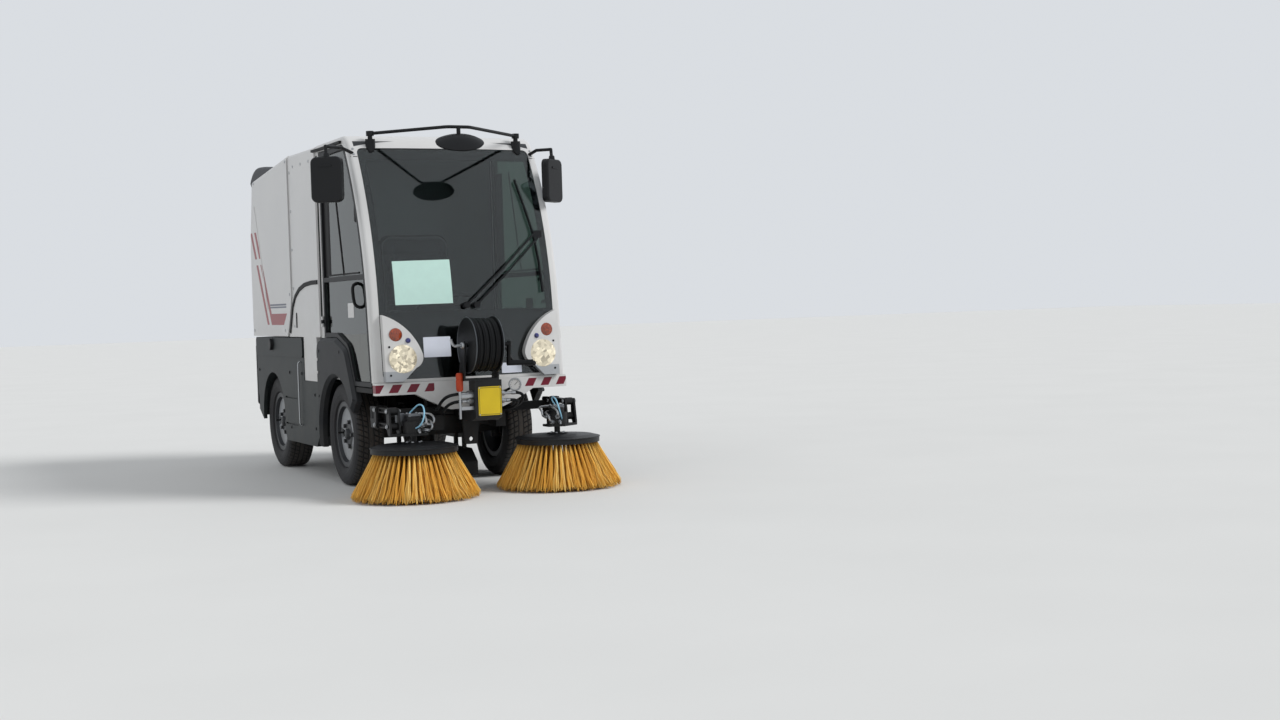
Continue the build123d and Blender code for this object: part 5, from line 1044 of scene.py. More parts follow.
# %% Seals and trims on the sides
seal_rubber = moulded("epdm_rubber_seal", "#0b0b0c", 1.5, 0.6, amount=0.05)
for name, side in sides:
    body = f"door_{name}"
    mesh = bmesh.new()
    rows = [on_side(side, -0.395 - 0.26 * (1.775 - z), z) for z in (1.775, 1.65, 1.5, 1.35, 1.185)]
    strip(mesh, rows, 0.012, 0.004)
    strip(mesh, [on_side(side, -0.238, z) for z in (1.192, 1.4, 1.6, 1.78)], 0.112, 0.003)
    strip(mesh, [on_side(side, y, 1.192) for y in (-0.21, -0.4, -0.6, -0.84)], 0.010, 0.004)
    handle = [on_side(side, y, z, out).translation for y, z, out in (
        (-0.800, 1.135, -0.004), (-0.800, 1.135, 0.030), (-0.818, 1.070, 0.034), (-0.838, 1.005, 0.030),
        (-0.838, 1.005, -0.004))]
    tube(mesh, handle, 0.009)
    latch = on_side(side, -0.822, 1.510)
    plate(mesh, latch, oblong(0.030, 0.090, 0.010), -0.004, 0.010, 0.003)
    shown(f"door_trim_{name}", mesh, seal_rubber, body)
    mesh = bmesh.new()
    plate(mesh, on_side(side, -0.655, 0.990), oblong(0.110, 0.080, 0.006), -0.001, 0.0008)
    shown(f"door_label_{name}", mesh, white_enamel, body)
    mesh = bmesh.new()
    gutter = [on_side(side, y, 1.914, 0.001) for y in (-0.095, -0.25, -0.4, -0.55, -0.64)]
    strip(mesh, gutter, 0.016, 0.014)
    strip(mesh, [on_side(side, -0.128, z) for z in (0.90, 1.2, 1.5, 1.8, 1.885)], 0.014, 0.005)
    # The curved black strip where the cab meets the cowl is partly trim and partly painted shadow of the gap
    # in the seam.
    seam_strip_and_painted_shadow = [(-0.086, 1.160), (0.06, 1.160), (0.20, 1.151), (0.32, 1.127), (0.42, 1.085), (0.49, 1.020),
             (0.525, 0.945), (0.566, 0.866)]
    strip(mesh, [on_side(side, y, z) for y, z in seam_strip_and_painted_shadow], 0.026, 0.006)
    plate(mesh, on_side(side, 0.410, 0.940), oblong(0.020, 0.094, 0.0099), -0.002, 0.003, 0.002)
    shown(f"cab_trim_{name}", mesh, seal_rubber, "root")
    screws = [on_side(side, 0.462, z) for z in (1.837, 1.603, 1.369, 1.134, 0.905)]
    screws += [on_side(side, y, 1.868) for y in (0.02, 0.20, 0.38)]
    fasteners(f"cowl_screws_{name}", screws, "root", Sides=16, Head_radius=0.0065, Head_height=0.0030,
              Washer_radius=0.0095)
print("side trims")

# %% [markdown]
# The white pillars beside the windscreen end in a cap. A thin dark joint marks its foot, and two
# screws hold it.

# %% Pillar caps
mesh = bmesh.new()
for name, side in sides:
    strip(mesh, [on_nose(side * x, 1.822) for x in (0.502, 0.520, 0.538)], 0.004, 0.0012)
shown("pillar_joints", mesh, seal_rubber, "root")
fasteners("pillar_screws", [on_nose(side * 0.519, z) for _, side in sides for z in (1.836, 1.866)], "root",
          Sides=16, Head_radius=0.005, Head_height=0.0025, Washer_radius=0.007)
print("pillar caps")

# %% [markdown]
# Each lamp pod holds a headlamp in a white bezel, an amber indicator, and a small blue marker. A
# bezel is a turned ring, and the marker is a turned dome.

# %% Lamp bezels and markers
mesh = bmesh.new()
for name, side in sides:
    for x, z, radius, wall in ((0.400, 0.725, 0.0755, 0.0085), (0.432, 0.854, 0.0352, 0.005)):
        front = on_nose(side * x, z).translation.y + (0.008 if radius > 0.05 else 0.007)
        turned(mesh, upright((side * x, front, z), (0, -1, 0)),
               [(radius, -0.012), (radius, 0.003), (radius + wall * 0.4, 0.0075), (radius + wall, 0.0045),
                (radius + wall * 1.15, -0.012)], steps=64, ring=True)
shown("lamp_bezels", mesh, white_enamel, "root", sharp=50)
mesh = bmesh.new()
for name, side in sides:
    turned(mesh, on_nose(side * 0.368, 0.8215), [(0, 0.010), (0.007, 0.009), (0.012, 0.0055), (0.0145, 0),
                                                 (0.0145, -0.004), (0, -0.004)], steps=24)
shown("blue_markers", mesh, blue_lens, "root", sharp=60)
fasteners("pod_screws", [on_nose(side * x, z) for _, side in sides
                         for x, z in ((0.470, 0.790), (0.470, 0.640), (0.345, 0.640))], "root", Sides=16,
          Head_radius=0.004, Head_height=0.002, Washer_radius=0.006, Finish=black_plastic)
print("lamps dressed")

# %% [markdown]
# Two blank paper labels are stuck on the foot of the glass, a pale green sheet is taped above
# the dashboard, and a yellow enamelled plate with a thin dark border is screwed on the middle box.

# %% Labels and plates
def paper(name, code):
    """Paper or film, faintly uneven."""
    material, tree, shader, place = finish(name, Roughness=0.55)
    faded = tone(code, 0.95)
    mottle = add(tree, "ShaderNodeTexNoise", {"Vector": place, "Scale": 1000 / 45, "Detail": 4.0})
    feed(tree, shader, Base_Color=add(tree, "ShaderNodeMix", {"Factor": mottle, 6: code, 7: faded}, 2,
                                      data_type="RGBA"))
    relief = add(tree, "ShaderNodeTexNoise", {"Vector": place, "Scale": 1000 / 25})
    feed(tree, shader, Normal=add(tree, "ShaderNodeBump", {"Height": relief, "Distance": 0.15 / 1000}))
    return material


mesh = bmesh.new()
plate(mesh, on_nose(-0.1975, 0.781), oblong(0.150, 0.108, 0.004), -0.0005, 0.0008)
plate(mesh, on_nose(0.222, 0.652), oblong(0.120, 0.056, 0.004), -0.0005, 0.0008)
shown("blank_labels", mesh, paper("white_label_film", "#dfe3ee"), "root")

mesh = bmesh.new()
sheet = [on_nose(x, z, 0.0008) for x, z in ((-0.252, 1.011), (-0.252, 1.09), (-0.252, 1.17), (-0.252, 1.246))]
strip(mesh, sheet, 0.317, 0.0012)
shown("green_sheet", mesh, paper("pale_green_paper", "#c6e6dc"), "root")

print("labels and sheet")

# %% [markdown]
# The yellow plate's border is the difference of two fields, one 2.5 mm inside the other.

# %% Yellow plate
material, tree, shader, place = finish("yellow_enamelled_plate", Roughness=0.35)
part = add(tree, "ShaderNodeSeparateXYZ", [place], None)
field = add(tree, "ShaderNodeMath", [between(tree, part.outputs["X"], -0.054, 0.066, 0.0004),
                                     between(tree, part.outputs["Z"], 0.418, 0.561, 0.0004)],
            operation="MULTIPLY")
inner = add(tree, "ShaderNodeMath", [between(tree, part.outputs["X"], -0.0515, 0.0635, 0.0004),
                                     between(tree, part.outputs["Z"], 0.4205, 0.5585, 0.0004)],
            operation="MULTIPLY")
rim_line = add(tree, "ShaderNodeMath", [field, inner], operation="SUBTRACT")
yellow = add(tree, "ShaderNodeMix",
             {"Factor": add(tree, "ShaderNodeTexNoise", {"Vector": place, "Scale": 1000 / 40, "Detail": 4.0}),
              6: "#d9bd18", 7: "#c9ab14"}, 2, data_type="RGBA")
feed(tree, shader, Base_Color=add(tree, "ShaderNodeMix", {"Factor": rim_line, 6: yellow, 7: "#3a3208"}, 2,
                                  data_type="RGBA"))
mesh = bmesh.new()
plate(mesh, upright((0.006, -1.330, 0.4895), (0, -1, 0)), oblong(0.130, 0.153, 0.005), -0.002, 0.0025, 0.0008)
shown("yellow_plate", mesh, material, "root")
fasteners("plate_screws", [upright((0.006 + x, -1.3325, 0.4895 + z), (0, -1, 0)) for x in (-0.059, 0.059)
                           for z in (-0.071, 0.071)], "root", Sides=16, Head_radius=0.003, Head_height=0.0016,
          Washer_radius=0.0042)
print("labels and plates")

# %% [markdown]
# The middle box is the water block of the high-pressure set: zinc couplings stand out of both its
# sides, a round gauge with a white dial shows the pressure, and the lance with its orange grip is
# clipped beside it. A bent lever with a round grip stops the reel.

# %% Water couplings
mesh = bmesh.new()
for x, z, reach, way in ((-0.075, 0.532, 0.070, -1), (-0.075, 0.492, 0.060, -1), (0.075, 0.524, 0.095, 1),
                         (0.075, 0.486, 0.062, 1)):
    seat = upright((x, -1.285, z), (way, 0, 0))
    turned(mesh, seat, [(0, reach), (0.008, reach), (0.010, reach - 0.004), (0.010, reach - 0.022),
                        (0.0075, reach - 0.024), (0.0075, 0.034), (0.012, 0.032), (0.012, 0.006),
                        (0.015, 0.004), (0.015, -0.006), (0, -0.006)], steps=24)
    plate(mesh, seat, circle(0.0165, 6), 0.010, 0.026, 0.0015)
tube(mesh, [(-0.098, -1.331, 0.788), (-0.150, -1.331, 0.789), (-0.184, -1.331, 0.784),
            (-0.196, -1.331, 0.805), (-0.200, -1.331, 0.822)], 0.008)
turned(mesh, upright((-0.124, -1.331, 0.788), (-1, 0, 0)), [(0, 0.022), (0.015, 0.022), (0.017, 0.018),
                                                            (0.017, 0.002), (0.015, -0.004), (0, -0.004)],
       steps=24)
for z in (0.520, 0.455):
    plate(mesh, upright((-0.112, -1.300, z), (0, -1, 0)), oblong(0.080, 0.018, 0.004), -0.004, 0.004, 0.001)
tube(mesh, [(-0.150, -1.300, 0.400), (-0.150, -1.300, 0.46), (-0.150, -1.300, 0.545)], 0.0075)
shown("water_couplings", mesh, zinc, "root")
print("couplings and lance")

# %% [markdown]
# The lance's grip is turned with a groove for the hand. The gauge is a dial under a rolled rim,
# with nine ticks and a needle.

# %% Grip and gauge
mesh = bmesh.new()
turned(mesh, upright((-0.150, -1.300, 0.545), (0, 0, 1)), [(0, 0.099), (0.013, 0.098), (0.018, 0.092),
                                                           (0.019, 0.070), (0.0165, 0.064), (0.019, 0.058),
                                                           (0.019, 0.012), (0.016, 0.004), (0.012, 0),
                                                           (0, 0)], steps=24)
shown("lance_grip", mesh, moulded("orange_nylon", "#b23c1c", 2.0, 0.45, amount=0.1), "root")
mesh = bmesh.new()
gauge = upright((0.178, -1.262, 0.566), (-0.25, -1, 0.1))
turned(mesh, gauge, [(0, 0.008), (0.029, 0.008), (0.029, -0.010), (0, -0.010)], steps=48)
shown("gauge_dial", mesh, white_enamel, "root", sharp=60)
mesh = bmesh.new()
turned(mesh, gauge, circle(0.0042, 10, (0.0315, 0.0075)), steps=48, ring=True)
turned(mesh, gauge, [(0, -0.010), (0.0315, -0.010), (0.0315, -0.014), (0, -0.014)], steps=48)
shown("gauge_case", mesh, zinc, "root", sharp=60)
mesh = bmesh.new()
plate(mesh, gauge @ Matrix.Rotation(0.8, 4, "Z") @ Matrix.Translation((0.008, 0, 0)),
      oblong(0.026, 0.0026, 0.001, 2), 0.0075, 0.0090)
for k in range(2, 11):
    turn = math.tau * k / 12 - math.pi / 2
    tick = gauge @ Matrix.Rotation(turn, 4, "Z") @ Matrix.Translation((0.0235, 0, 0))
    plate(mesh, tick, oblong(0.005, 0.0014, 0.0005, 2), 0.0075, 0.0085)
tube(mesh, [(0.178, -1.252, 0.566), (0.174, -1.240, 0.560), (0.160, -1.236, 0.545), (0.120, -1.24, 0.53),
            (0.072, -1.24, 0.53)], 0.007)
shown("gauge_needle", mesh, black_plastic, "root", sharp=60)
print("grip and gauge")

# %% [markdown]
# The lever is one bent rod, and the water lines are tubes from the couplings back to the frame.

# %% Reel stop lever and water lines
mesh = bmesh.new()
tube(mesh, [(0.052, -1.318, 0.772), (0.085, -1.310, 0.772), (0.125, -1.285, 0.768), (0.143, -1.264, 0.748),
            (0.153, -1.262, 0.718), (0.172, -1.262, 0.688), (0.205, -1.262, 0.677), (0.245, -1.262, 0.676)],
     0.0085)
turned(mesh, upright((0.236, -1.262, 0.676), (1, 0, 0)), [(0, 0.066), (0.010, 0.065), (0.0135, 0.060),
                                                          (0.0140, 0.008), (0.0115, 0.0), (0, 0)], steps=24)
shown("reel_stop_lever", mesh, black_plastic, "root", sharp=60)
mesh = bmesh.new()
for route in (((-0.135, -1.285, 0.492), (-0.175, -1.285, 0.492), (-0.205, -1.24, 0.47), (-0.19, -1.14, 0.43),
               (-0.15, -1.04, 0.432)), ((0.137, -1.285, 0.486), (0.175, -1.285, 0.486), (0.205, -1.24, 0.465),
                                        (0.19, -1.14, 0.425), (0.15, -1.04, 0.432)), ((0.170, -1.285, 0.524),
        (0.205, -1.285, 0.522), (0.232, -1.25, 0.49), (0.225, -1.14, 0.43), (0.19, -1.02, 0.44)),
              ((-0.145, -1.285, 0.532), (-0.20, -1.285, 0.53), (-0.235, -1.25, 0.50), (-0.225, -1.14, 0.44),
               (-0.19, -1.02, 0.44))):
    tube(mesh, route, 0.0085)
shown("water_lines", mesh, hose_rubber, "root", sharp=60)
print("water block dressed")

# %% [markdown]
# The hose drum's pressed flanges end in rolled bright rims. The hose lies on the drum in four
# turns that touch, and each shows as three narrow crowns, as a ribbed cover does.

# %% Reel rims and hose lays
mesh = bmesh.new()
for x in (-0.112, 0.040):
    at = upright((x, -1.331, 0.788), (-1, 0, 0))
    turned(mesh, at, circle(0.0026, 8, (0.1475, 0.0)), steps=72, ring=True)
shown("reel_rims", mesh, metal("rolled_steel_rim", "#74787c", 0.45, 3.0), "reel", sharp=60)
mesh = bmesh.new()
for turn in range(4):
    middle = -0.036 - 0.066 + 0.033 * turn + 0.0165
    for lay in (-0.0095, 0.0, 0.0095):
        at = upright((middle + lay, -1.331, 0.788), (-1, 0, 0))
        crown = 0.1385 - abs(lay) * 0.35
        turned(mesh, at, circle(0.0046, 8, (crown, 0.0)), steps=64, ring=True)
shown("reel_hose_lays", mesh, hose_rubber, "reel", sharp=60)
print("reel dressed")

# %% [markdown]
# Mirror heads are black shells with the glass let into the face that looks back at the driver. The
# glass is a silvered plate: metal with almost no roughness.

# %% Mirror glass
silvered, tree, shader, place = finish("silvered_mirror_glass", Metallic=1.0)
smear = add(tree, "ShaderNodeTexNoise", {"Vector": place, "Scale": 1000 / 60, "Detail": 4.0})
smear = add(tree, "ShaderNodeMapRange", {"Value": smear, "To Min": 0.02, "To Max": 0.10})
feed(tree, shader, Roughness=smear)
mottle = add(tree, "ShaderNodeTexNoise", {"Vector": place, "Scale": 1000 / 90})
feed(tree, shader, Base_Color=add(tree, "ShaderNodeMix", {"Factor": mottle, 6: "#b8bfc4", 7: "#c8ced2"}, 2,
                                  data_type="RGBA"))
mesh, collar = bmesh.new(), bmesh.new()
toe = math.radians(38)
for name, side in sides:
    middle = Vector((side * (0.547 + (0.168 if side < 0 else 0.035)), -0.925, 1.685))
    back = Vector((-side * math.sin(toe), math.cos(toe), 0))
    seat = upright(middle + back * 0.020, back)
    plate(mesh, seat, oblong(0.154, 0.222, 0.028), -0.001, 0.0012, 0.0006)
    face = upright(middle - back * 0.020, -back)
    plate(collar, face @ Matrix.Translation((0, 0.072, 0)), oblong(0.070, 0.012, 0.005), -0.001, 0.004,
          0.0015)
    turned(collar, upright(middle + Vector((0, 0, 0.121)), (0, 0, 1)), [(0, 0.020), (0.013, 0.020),
            (0.016, 0.015), (0.018, -0.004), (0, -0.004)], steps=24)
shown("side_mirror_glass", mesh, silvered, "root")
shown("mirror_collars", collar, black_plastic, "root")
print("mirrors dressed")

# %% [markdown]
# The tanks are held by bolts with black caps. A thin plated rod holds
# the tank's front edge, and the filler has a turned cap with grip ribs.

# %% Tank fittings
for name, side in sides:
    fasteners(f"tank_bolts_{name}", [on_side(side, y, z) for y, z in ((0.05, 0.50), (0.05, 0.30),
            (0.62, 0.28), (0.62, 0.62), (1.40, 0.62), (0.33, 0.62))], "root", Head_radius=0.007,
              Head_height=0.005, Washer_radius=0.0115, Finish=black_plastic)
    fasteners(f"guard_bolts_{name}", [on_side(side, y, z) for y, z in ((-0.08, 0.76), (-0.50, 0.76),
            (-0.06, 0.50), (-0.735, 0.50))], "root", Sides=16, Head_radius=0.006, Head_height=0.003,
              Washer_radius=0.010, Finish=black_plastic)
tube_mesh = bmesh.new()
tube(tube_mesh, [on_side(-1, 0.354, z, out).translation for z, out in ((0.306, 0.0), (0.306, 0.014),
        (0.34, 0.016), (0.55, 0.016), (0.66, 0.016), (0.69, 0.014), (0.69, 0.0))], 0.0045)
shown("tank_rod", tube_mesh, zinc, "root", sharp=60)
cap = bmesh.new()
seat = on_side(-1, 1.02, 0.79)
turned(cap, seat, [(0, 0.020), (0.030, 0.020), (0.034, 0.017), (0.036, 0.002), (0.044, 0.001),
                   (0.044, -0.006), (0, -0.006)], steps=48)
for k in range(18):
    rib = seat @ Matrix.Rotation(math.tau * k / 18, 4, "Z") @ Matrix.Translation((0.0355, 0, 0))
    plate(cap, rib, oblong(0.004, 0.005, 0.0012, 2), 0.002, 0.017, 0.001)
shown("filler_cap", cap, black_plastic, "root")
print("tanks dressed")

# %% [markdown]
# The gutter brush heads are hydraulic motors. Zinc unions stand out of each motor, steel pipes run
# from them to a block on the head, and a pale blue water line feeds the spray nozzle over the
# bristles. The arms' pins end in bolts. All of it rides on the body that carries it, so the brushes
# can swing, drop and spin.

# %% Brush motors
blue_line = moulded("pale_blue_polyurethane", "#8fc4de", 1.5, 0.35, amount=0.1)
grey_cast = metal("cast_alloy", "#8a8d90", 0.5, 2.5)
for name, side in sides:
    body = f"brush_head_{name}"
    mid_x, mid_y = side * 0.406, -1.286
    mesh, blue, cast = bmesh.new(), bmesh.new(), bmesh.new()
    for turn, z in ((200, 0.385), (250, 0.385), (225, 0.356)):
        way = Vector((side * math.cos(math.radians(turn)), math.sin(math.radians(turn)), 0))
        port = upright(Vector((mid_x, mid_y, z)) + way * 0.054, way)
        plate(mesh, port, circle(0.013, 6), -0.002, 0.016, 0.001)
        turned(mesh, port, [(0, 0.034), (0.007, 0.034), (0.0095, 0.030), (0.0095, 0.014), (0, 0.014)],
               steps=20)
        start = port.translation
        tube(mesh, [start + way * 0.02, start + way * 0.05, start + way * 0.055 + Vector((0, 0, 0.035)),
                    start + way * 0.03 + Vector((-side * 0.02, 0.05, 0.055)),
                    Vector((mid_x + side * 0.02, mid_y + 0.085, z + 0.05)),
                    Vector((mid_x + side * 0.055, -1.222, z + 0.045))], 0.006)
    plate(cast, upright((mid_x, mid_y, 0.432), (0, 0, 1)), oblong(0.070, 0.070, 0.012), -0.002, 0.012, 0.003)
    plate(cast, upright((mid_x + side * 0.052, -1.226, 0.415), (0, 0, 1)), oblong(0.046, 0.036, 0.006),
          -0.035, 0.030, 0.003)
    shown(f"motor_castings_{name}", cast, grey_cast, body)
    fasteners(f"motor_bolts_{name}", [upright((mid_x + 0.026 * a, mid_y + 0.026 * b, 0.444), (0, 0, 1))
                                      for a in (-1, 1) for b in (-1, 1)], body, Head_radius=0.0055,
              Head_height=0.005, Washer_radius=0.0075)
    route = [(0.006, -0.052, 0.370), (-0.010, -0.090, 0.380), (-0.030, -0.098, 0.440),
             (-0.034, -0.070, 0.485), (-0.030, -0.010, 0.492), (-0.016, 0.030, 0.470), (0.010, 0.040, 0.440)]
    tube(blue, [(mid_x + side * x, mid_y + y, z) for x, y, z in route], 0.0042)
    shown(f"spray_line_{name}", blue, blue_line, body, sharp=60)
    spray = upright((mid_x - side * 0.010, mid_y - 0.062, 0.356), (0, -0.7, -0.7))
    turned(mesh, spray, [(0, 0.018), (0.004, 0.018), (0.006, 0.010), (0.009, 0.008), (0.009, -0.008),
                         (0, -0.008)], steps=16)
    shown(f"motor_unions_{name}", mesh, zinc, body)
    for carrier, y in ((f"brush_bracket_{name}", -1.024), (body, -1.236)):
        ends = [upright((side * 0.500 + way * 0.0345, y, z), (way, 0, 0)) for z in (0.378, 0.458)
                for way in (-1, 1)]
        fasteners(f"pin_bolts_{carrier}", ends, carrier, Head_radius=0.0095, Head_height=0.006,
                  Washer_radius=0.0125)
    bolts = [upright((x, y, 0.2955), (0, 0, 1)) for x, y in circle(0.038, 6, (mid_x, mid_y))]
    fasteners(f"disc_bolts_{name}", bolts, f"brush_{name}", Head_radius=0.006, Head_height=0.005,
              Washer_radius=0.008)
    rim = bmesh.new()
    turned(rim, upright((mid_x, mid_y, 0), (0, 0, 1)), circle(0.0035, 8, (0.2275, 0.2705)), steps=96,
           ring=True)
    shown(f"disc_rim_{name}", rim, black_plastic, f"brush_{name}", sharp=60)
print("brush heads dressed")

# %% [markdown]
# The tail carries a blank plate with its bolts, rubber frames round the lamps, the gate's seal and
# its two over-centre latches, and mesh behind the grille's slots.

# %% Tail fittings
mesh = bmesh.new()
for x in (-0.40, 0.40):
    seat = on_tail(x, 0.955)
    plate(mesh, seat, oblong(0.060, 0.110, 0.008), -0.001, 0.014, 0.003)
    tube(mesh, [seat @ Vector(p) for p in ((-0.018, -0.035, 0.012), (-0.018, 0.01, 0.024), (0, 0.028, 0.026),
                                           (0.018, 0.01, 0.024), (0.018, -0.035, 0.012))], 0.005)
shown("gate_latches", mesh, zinc, "gate")
mesh = bmesh.new()
for z in (1.385, 0.912):
    strip(mesh, [on_tail(x, z) for x in (-0.485, -0.25, 0.0, 0.25, 0.485)], 0.016, 0.006)
for x in (-0.488, 0.488):
    strip(mesh, [on_tail(x, z) for z in (0.910, 1.0, 1.2, 1.380)], 0.014, 0.006)
shown("gate_seal", mesh, seal_rubber, "gate")
mesh = bmesh.new()
plate(mesh, on_tail(0, 0.430), oblong(0.520, 0.114, 0.010), -0.001, 0.003, 0.001)
shown("blank_plate", mesh, white_enamel, "root")
fasteners("tail_bolts", [on_tail(x, 0.430) for x in (-0.24, 0.24)] + [on_tail(x, z) for x in (-0.505, 0.505)
        for z in (0.42, 0.50)], "root", Sides=16, Head_radius=0.006, Head_height=0.003, Washer_radius=0.009)
print("gate and plate")

# %% [markdown]
# Each tail lamp stands in a rubber frame of four strips. The grille's mesh is crossed wires 15 mm
# apart.

# %% Lamp frames and grille mesh
mesh = bmesh.new()
for x in (-0.470, 0.470):
    for z in (0.650 + 0.105 + 0.010, 0.650 - 0.105 - 0.010):
        strip(mesh, [on_tail(x + a, z) for a in (-0.052, 0, 0.052)], 0.014, 0.016)
    for a in (-0.052, 0.052):
        strip(mesh, [on_tail(x + a * 1.12, z) for z in (0.540, 0.65, 0.760)], 0.012, 0.016)
shown("tail_lamp_frames", mesh, seal_rubber, "root")
mesh = bmesh.new()
for k in range(41):
    x = -0.30 + 0.015 * k
    strip(mesh, [upright((x, 1.508, z), (0, 1, 0)) for z in (0.400, 0.58, 0.74)], 0.003, 0.0025)
for k in range(23):
    z = 0.405 + 0.015 * k
    strip(mesh, [upright((x, 1.5075, z), (0, 1, 0)) for x in (-0.305, 0, 0.305)], 0.003, 0.0025)
shown("grille_mesh", mesh, black_coat, "root")
print("tail dressed")

# %% [markdown]
# The driver's seat is foam under woven cloth: a cushion and a back with sewn channels, on a moulded
# base. Cloth simulation gives the crowned shape. A rounded block is remeshed in small cells, blown up
# a little with no gravity, and held to a small growth. The channels are pressed in afterwards,
# because the remesh would erase them.

# %% Seat cloth
material, tree, shader, place = finish("woven_seat_cloth", Roughness=0.9, Sheen_Weight=0.25,
                                       Sheen_Roughness=0.4)
part = add(tree, "ShaderNodeSeparateXYZ", [place], None)
two_threads = 0.004
warp = add(tree, "ShaderNodeMath", [add(tree, "ShaderNodeMath", [part.outputs["X"], math.tau / two_threads],
                                        operation="MULTIPLY")], operation="SINE")
weft = add(tree, "ShaderNodeMath", [add(tree, "ShaderNodeMath", [part.outputs["Z"], math.tau / two_threads],
                                        operation="MULTIPLY")], operation="SINE")
weave = add(tree, "ShaderNodeMath", [warp, weft], operation="MULTIPLY")
mottle = add(tree, "ShaderNodeTexNoise", {"Vector": place, "Scale": 1000 / 6, "Detail": 4.0})
colour = add(tree, "ShaderNodeMix", {"Factor": mottle, 6: "#1c1e22", 7: "#33363b"}, 2, data_type="RGBA")
# The crowns of the weave are painted paler: a painted highlight where the threads rise.
crown_highlight = add(tree, "ShaderNodeMath", [weave, 0.55], operation="GREATER_THAN")
feed(tree, shader, Base_Color=add(tree, "ShaderNodeMix", {"Factor": crown_highlight, 6: colour, 7: "#4a4e55"}, 2,
                                  data_type="RGBA"))
feed(tree, shader, Normal=add(tree, "ShaderNodeBump", {"Height": weave, "Distance": 0.4 / 1000}))
seat_cloth = material


# %% [markdown]
# One maker serves cushion and back. A cap limits how far each vertex may move, so the cloth
# crowns the foam and never leaves its place.

# %% A foam pad by cloth simulation
def foam_pad(name, at, wide, deep, thick, corner, channels, cap):
    """A pad over the plane of at, wide and deep in it, with channels across at shares of its depth."""
    block = bmesh.new()
    plate(block, at, oblong(wide, deep, corner, 8), 0.012, thick, 0.030)
    bmesh.ops.recalc_face_normals(block, faces=block.faces)
    data = bpy.data.meshes.new(name)
    block.to_mesh(data)
    block.free()
    pad = bpy.data.objects.new(name, data)
    scene.collection.objects.link(pad)
    remesh = pad.modifiers.new("cells", "REMESH")
    remesh.mode = "VOXEL"
    remesh.voxel_size = 0.006
    start = bpy.data.meshes.new_from_object(pad.evaluated_get(bpy.context.evaluated_depsgraph_get()))
    pad.modifiers.clear()
    pad.data = start
    rest = [v.co.copy() for v in start.vertices]
    cloth = pad.modifiers.new("cloth", "CLOTH")
    cloth.settings.use_pressure = True
    cloth.settings.uniform_pressure_force = 4.0
    cloth.settings.effector_weights.gravity = 0.0
    cloth.settings.quality = 4
    cloth.point_cache.frame_end = 20
    for step in range(1, 21):
        scene.frame_set(step)
    blown = bpy.data.meshes.new_from_object(pad.evaluated_get(bpy.context.evaluated_depsgraph_get()))
    pad.modifiers.clear()
    pad.data = blown
    scene.frame_set(1)
    inverse = at.inverted()
    for vertex, before in zip(pad.data.vertices, rest):
        move = vertex.co - before
        if move.length > cap:
            move *= cap / move.length
        local = inverse @ (before + move)
        side_share = abs(local.x) / (wide / 2)
        groove = sum(math.exp(-((local.y - deep * share) / 0.008) ** 2) for share in channels)
        piping = math.exp(-((abs(local.x) - wide * 0.34) / 0.007) ** 2)
        if local.z > thick * 0.5:
            local.z -= 0.010 * groove + 0.008 * piping * (abs(local.y) < deep * 0.42)
        local.z += 0.018 * max(0, side_share - 0.68) * (local.z > thick * 0.5)
        vertex.co = at @ local
    finer = pad.modifiers.new("finer", "SUBSURF")
    finer.levels = finer.render_levels = 1
    final = bpy.data.meshes.new_from_object(pad.evaluated_get(bpy.context.evaluated_depsgraph_get()))
    pad.modifiers.clear()
    pad.data = final
    final.shade_smooth()
    final.materials.clear()
    final.materials.append(seat_cloth)
    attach(pad, "root")
    print(name, len(final.polygons), "faces")
    return pad


cushion_top = upright((0, -0.420, 0.762), (0, 0, 1))
cushion = foam_pad("seat_cushion", cushion_top, 0.440, 0.372, 0.104, 0.050, (-0.20, 0.0, 0.20), 0.010)
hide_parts("driver_seat")
lean = math.radians(8)
back_way = Vector((0, -math.cos(lean), math.sin(lean)))
back_seat = upright(Vector((0, -0.232, 1.130)) - back_way * 0.042, back_way)
back = foam_pad("seat_back", back_seat, 0.412, 0.585, 0.076, 0.070, (-0.30, -0.15, 0.0, 0.15, 0.30), 0.010)
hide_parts("driver_seat")

# %% [markdown]
# The seat stands on a moulded base with bellows round its spring, and its back has a shell.

# %% Seat base and shell
mesh = bmesh.new()
seat = upright((0, -0.400, 0.6243), (0, 0, 1))
folds = [(0.0, 0.0), (0.02, 0.012), (0.04, 0.0), (0.06, 0.012), (0.08, 0.0), (0.10, 0.012)]
plate(mesh, seat, oblong(0.350, 0.320, 0.030), 0.0, 0.020, 0.004)
for rise, inset in folds:
    plate(mesh, seat, oblong(0.320 - 2 * inset, 0.290 - 2 * inset, 0.030), rise + 0.018, rise + 0.040, 0.006)
plate(mesh, upright((0, -0.418, 0.752), (0, 0, 1)), oblong(0.420, 0.350, 0.040), -0.006, 0.022, 0.006)
shell = upright(Vector((0, -0.232, 1.130)) - back_way * 0.042, -back_way)
plate(mesh, shell, oblong(0.424, 0.600, 0.060), -0.014, 0.006, 0.004)
shown("seat_base", mesh, black_plastic, "root")
mesh = bmesh.new()
for side_way in (-1, 1):
    tube(mesh, [(side_way * 0.218, -0.250, 0.800), (side_way * 0.222, -0.250, 0.90),
                (side_way * 0.222, -0.300, 0.985), (side_way * 0.222, -0.420, 1.000),
                (side_way * 0.222, -0.500, 1.000)], 0.019)
shown("seat_arms", mesh, black_plastic, "root", sharp=60)
print("seat made")

# %% [markdown]
# Inside the cab the steering wheel has a padded boss and a column with two stalks, the dashboard a
# screen and a row of switches, and a lever console stands on the right.

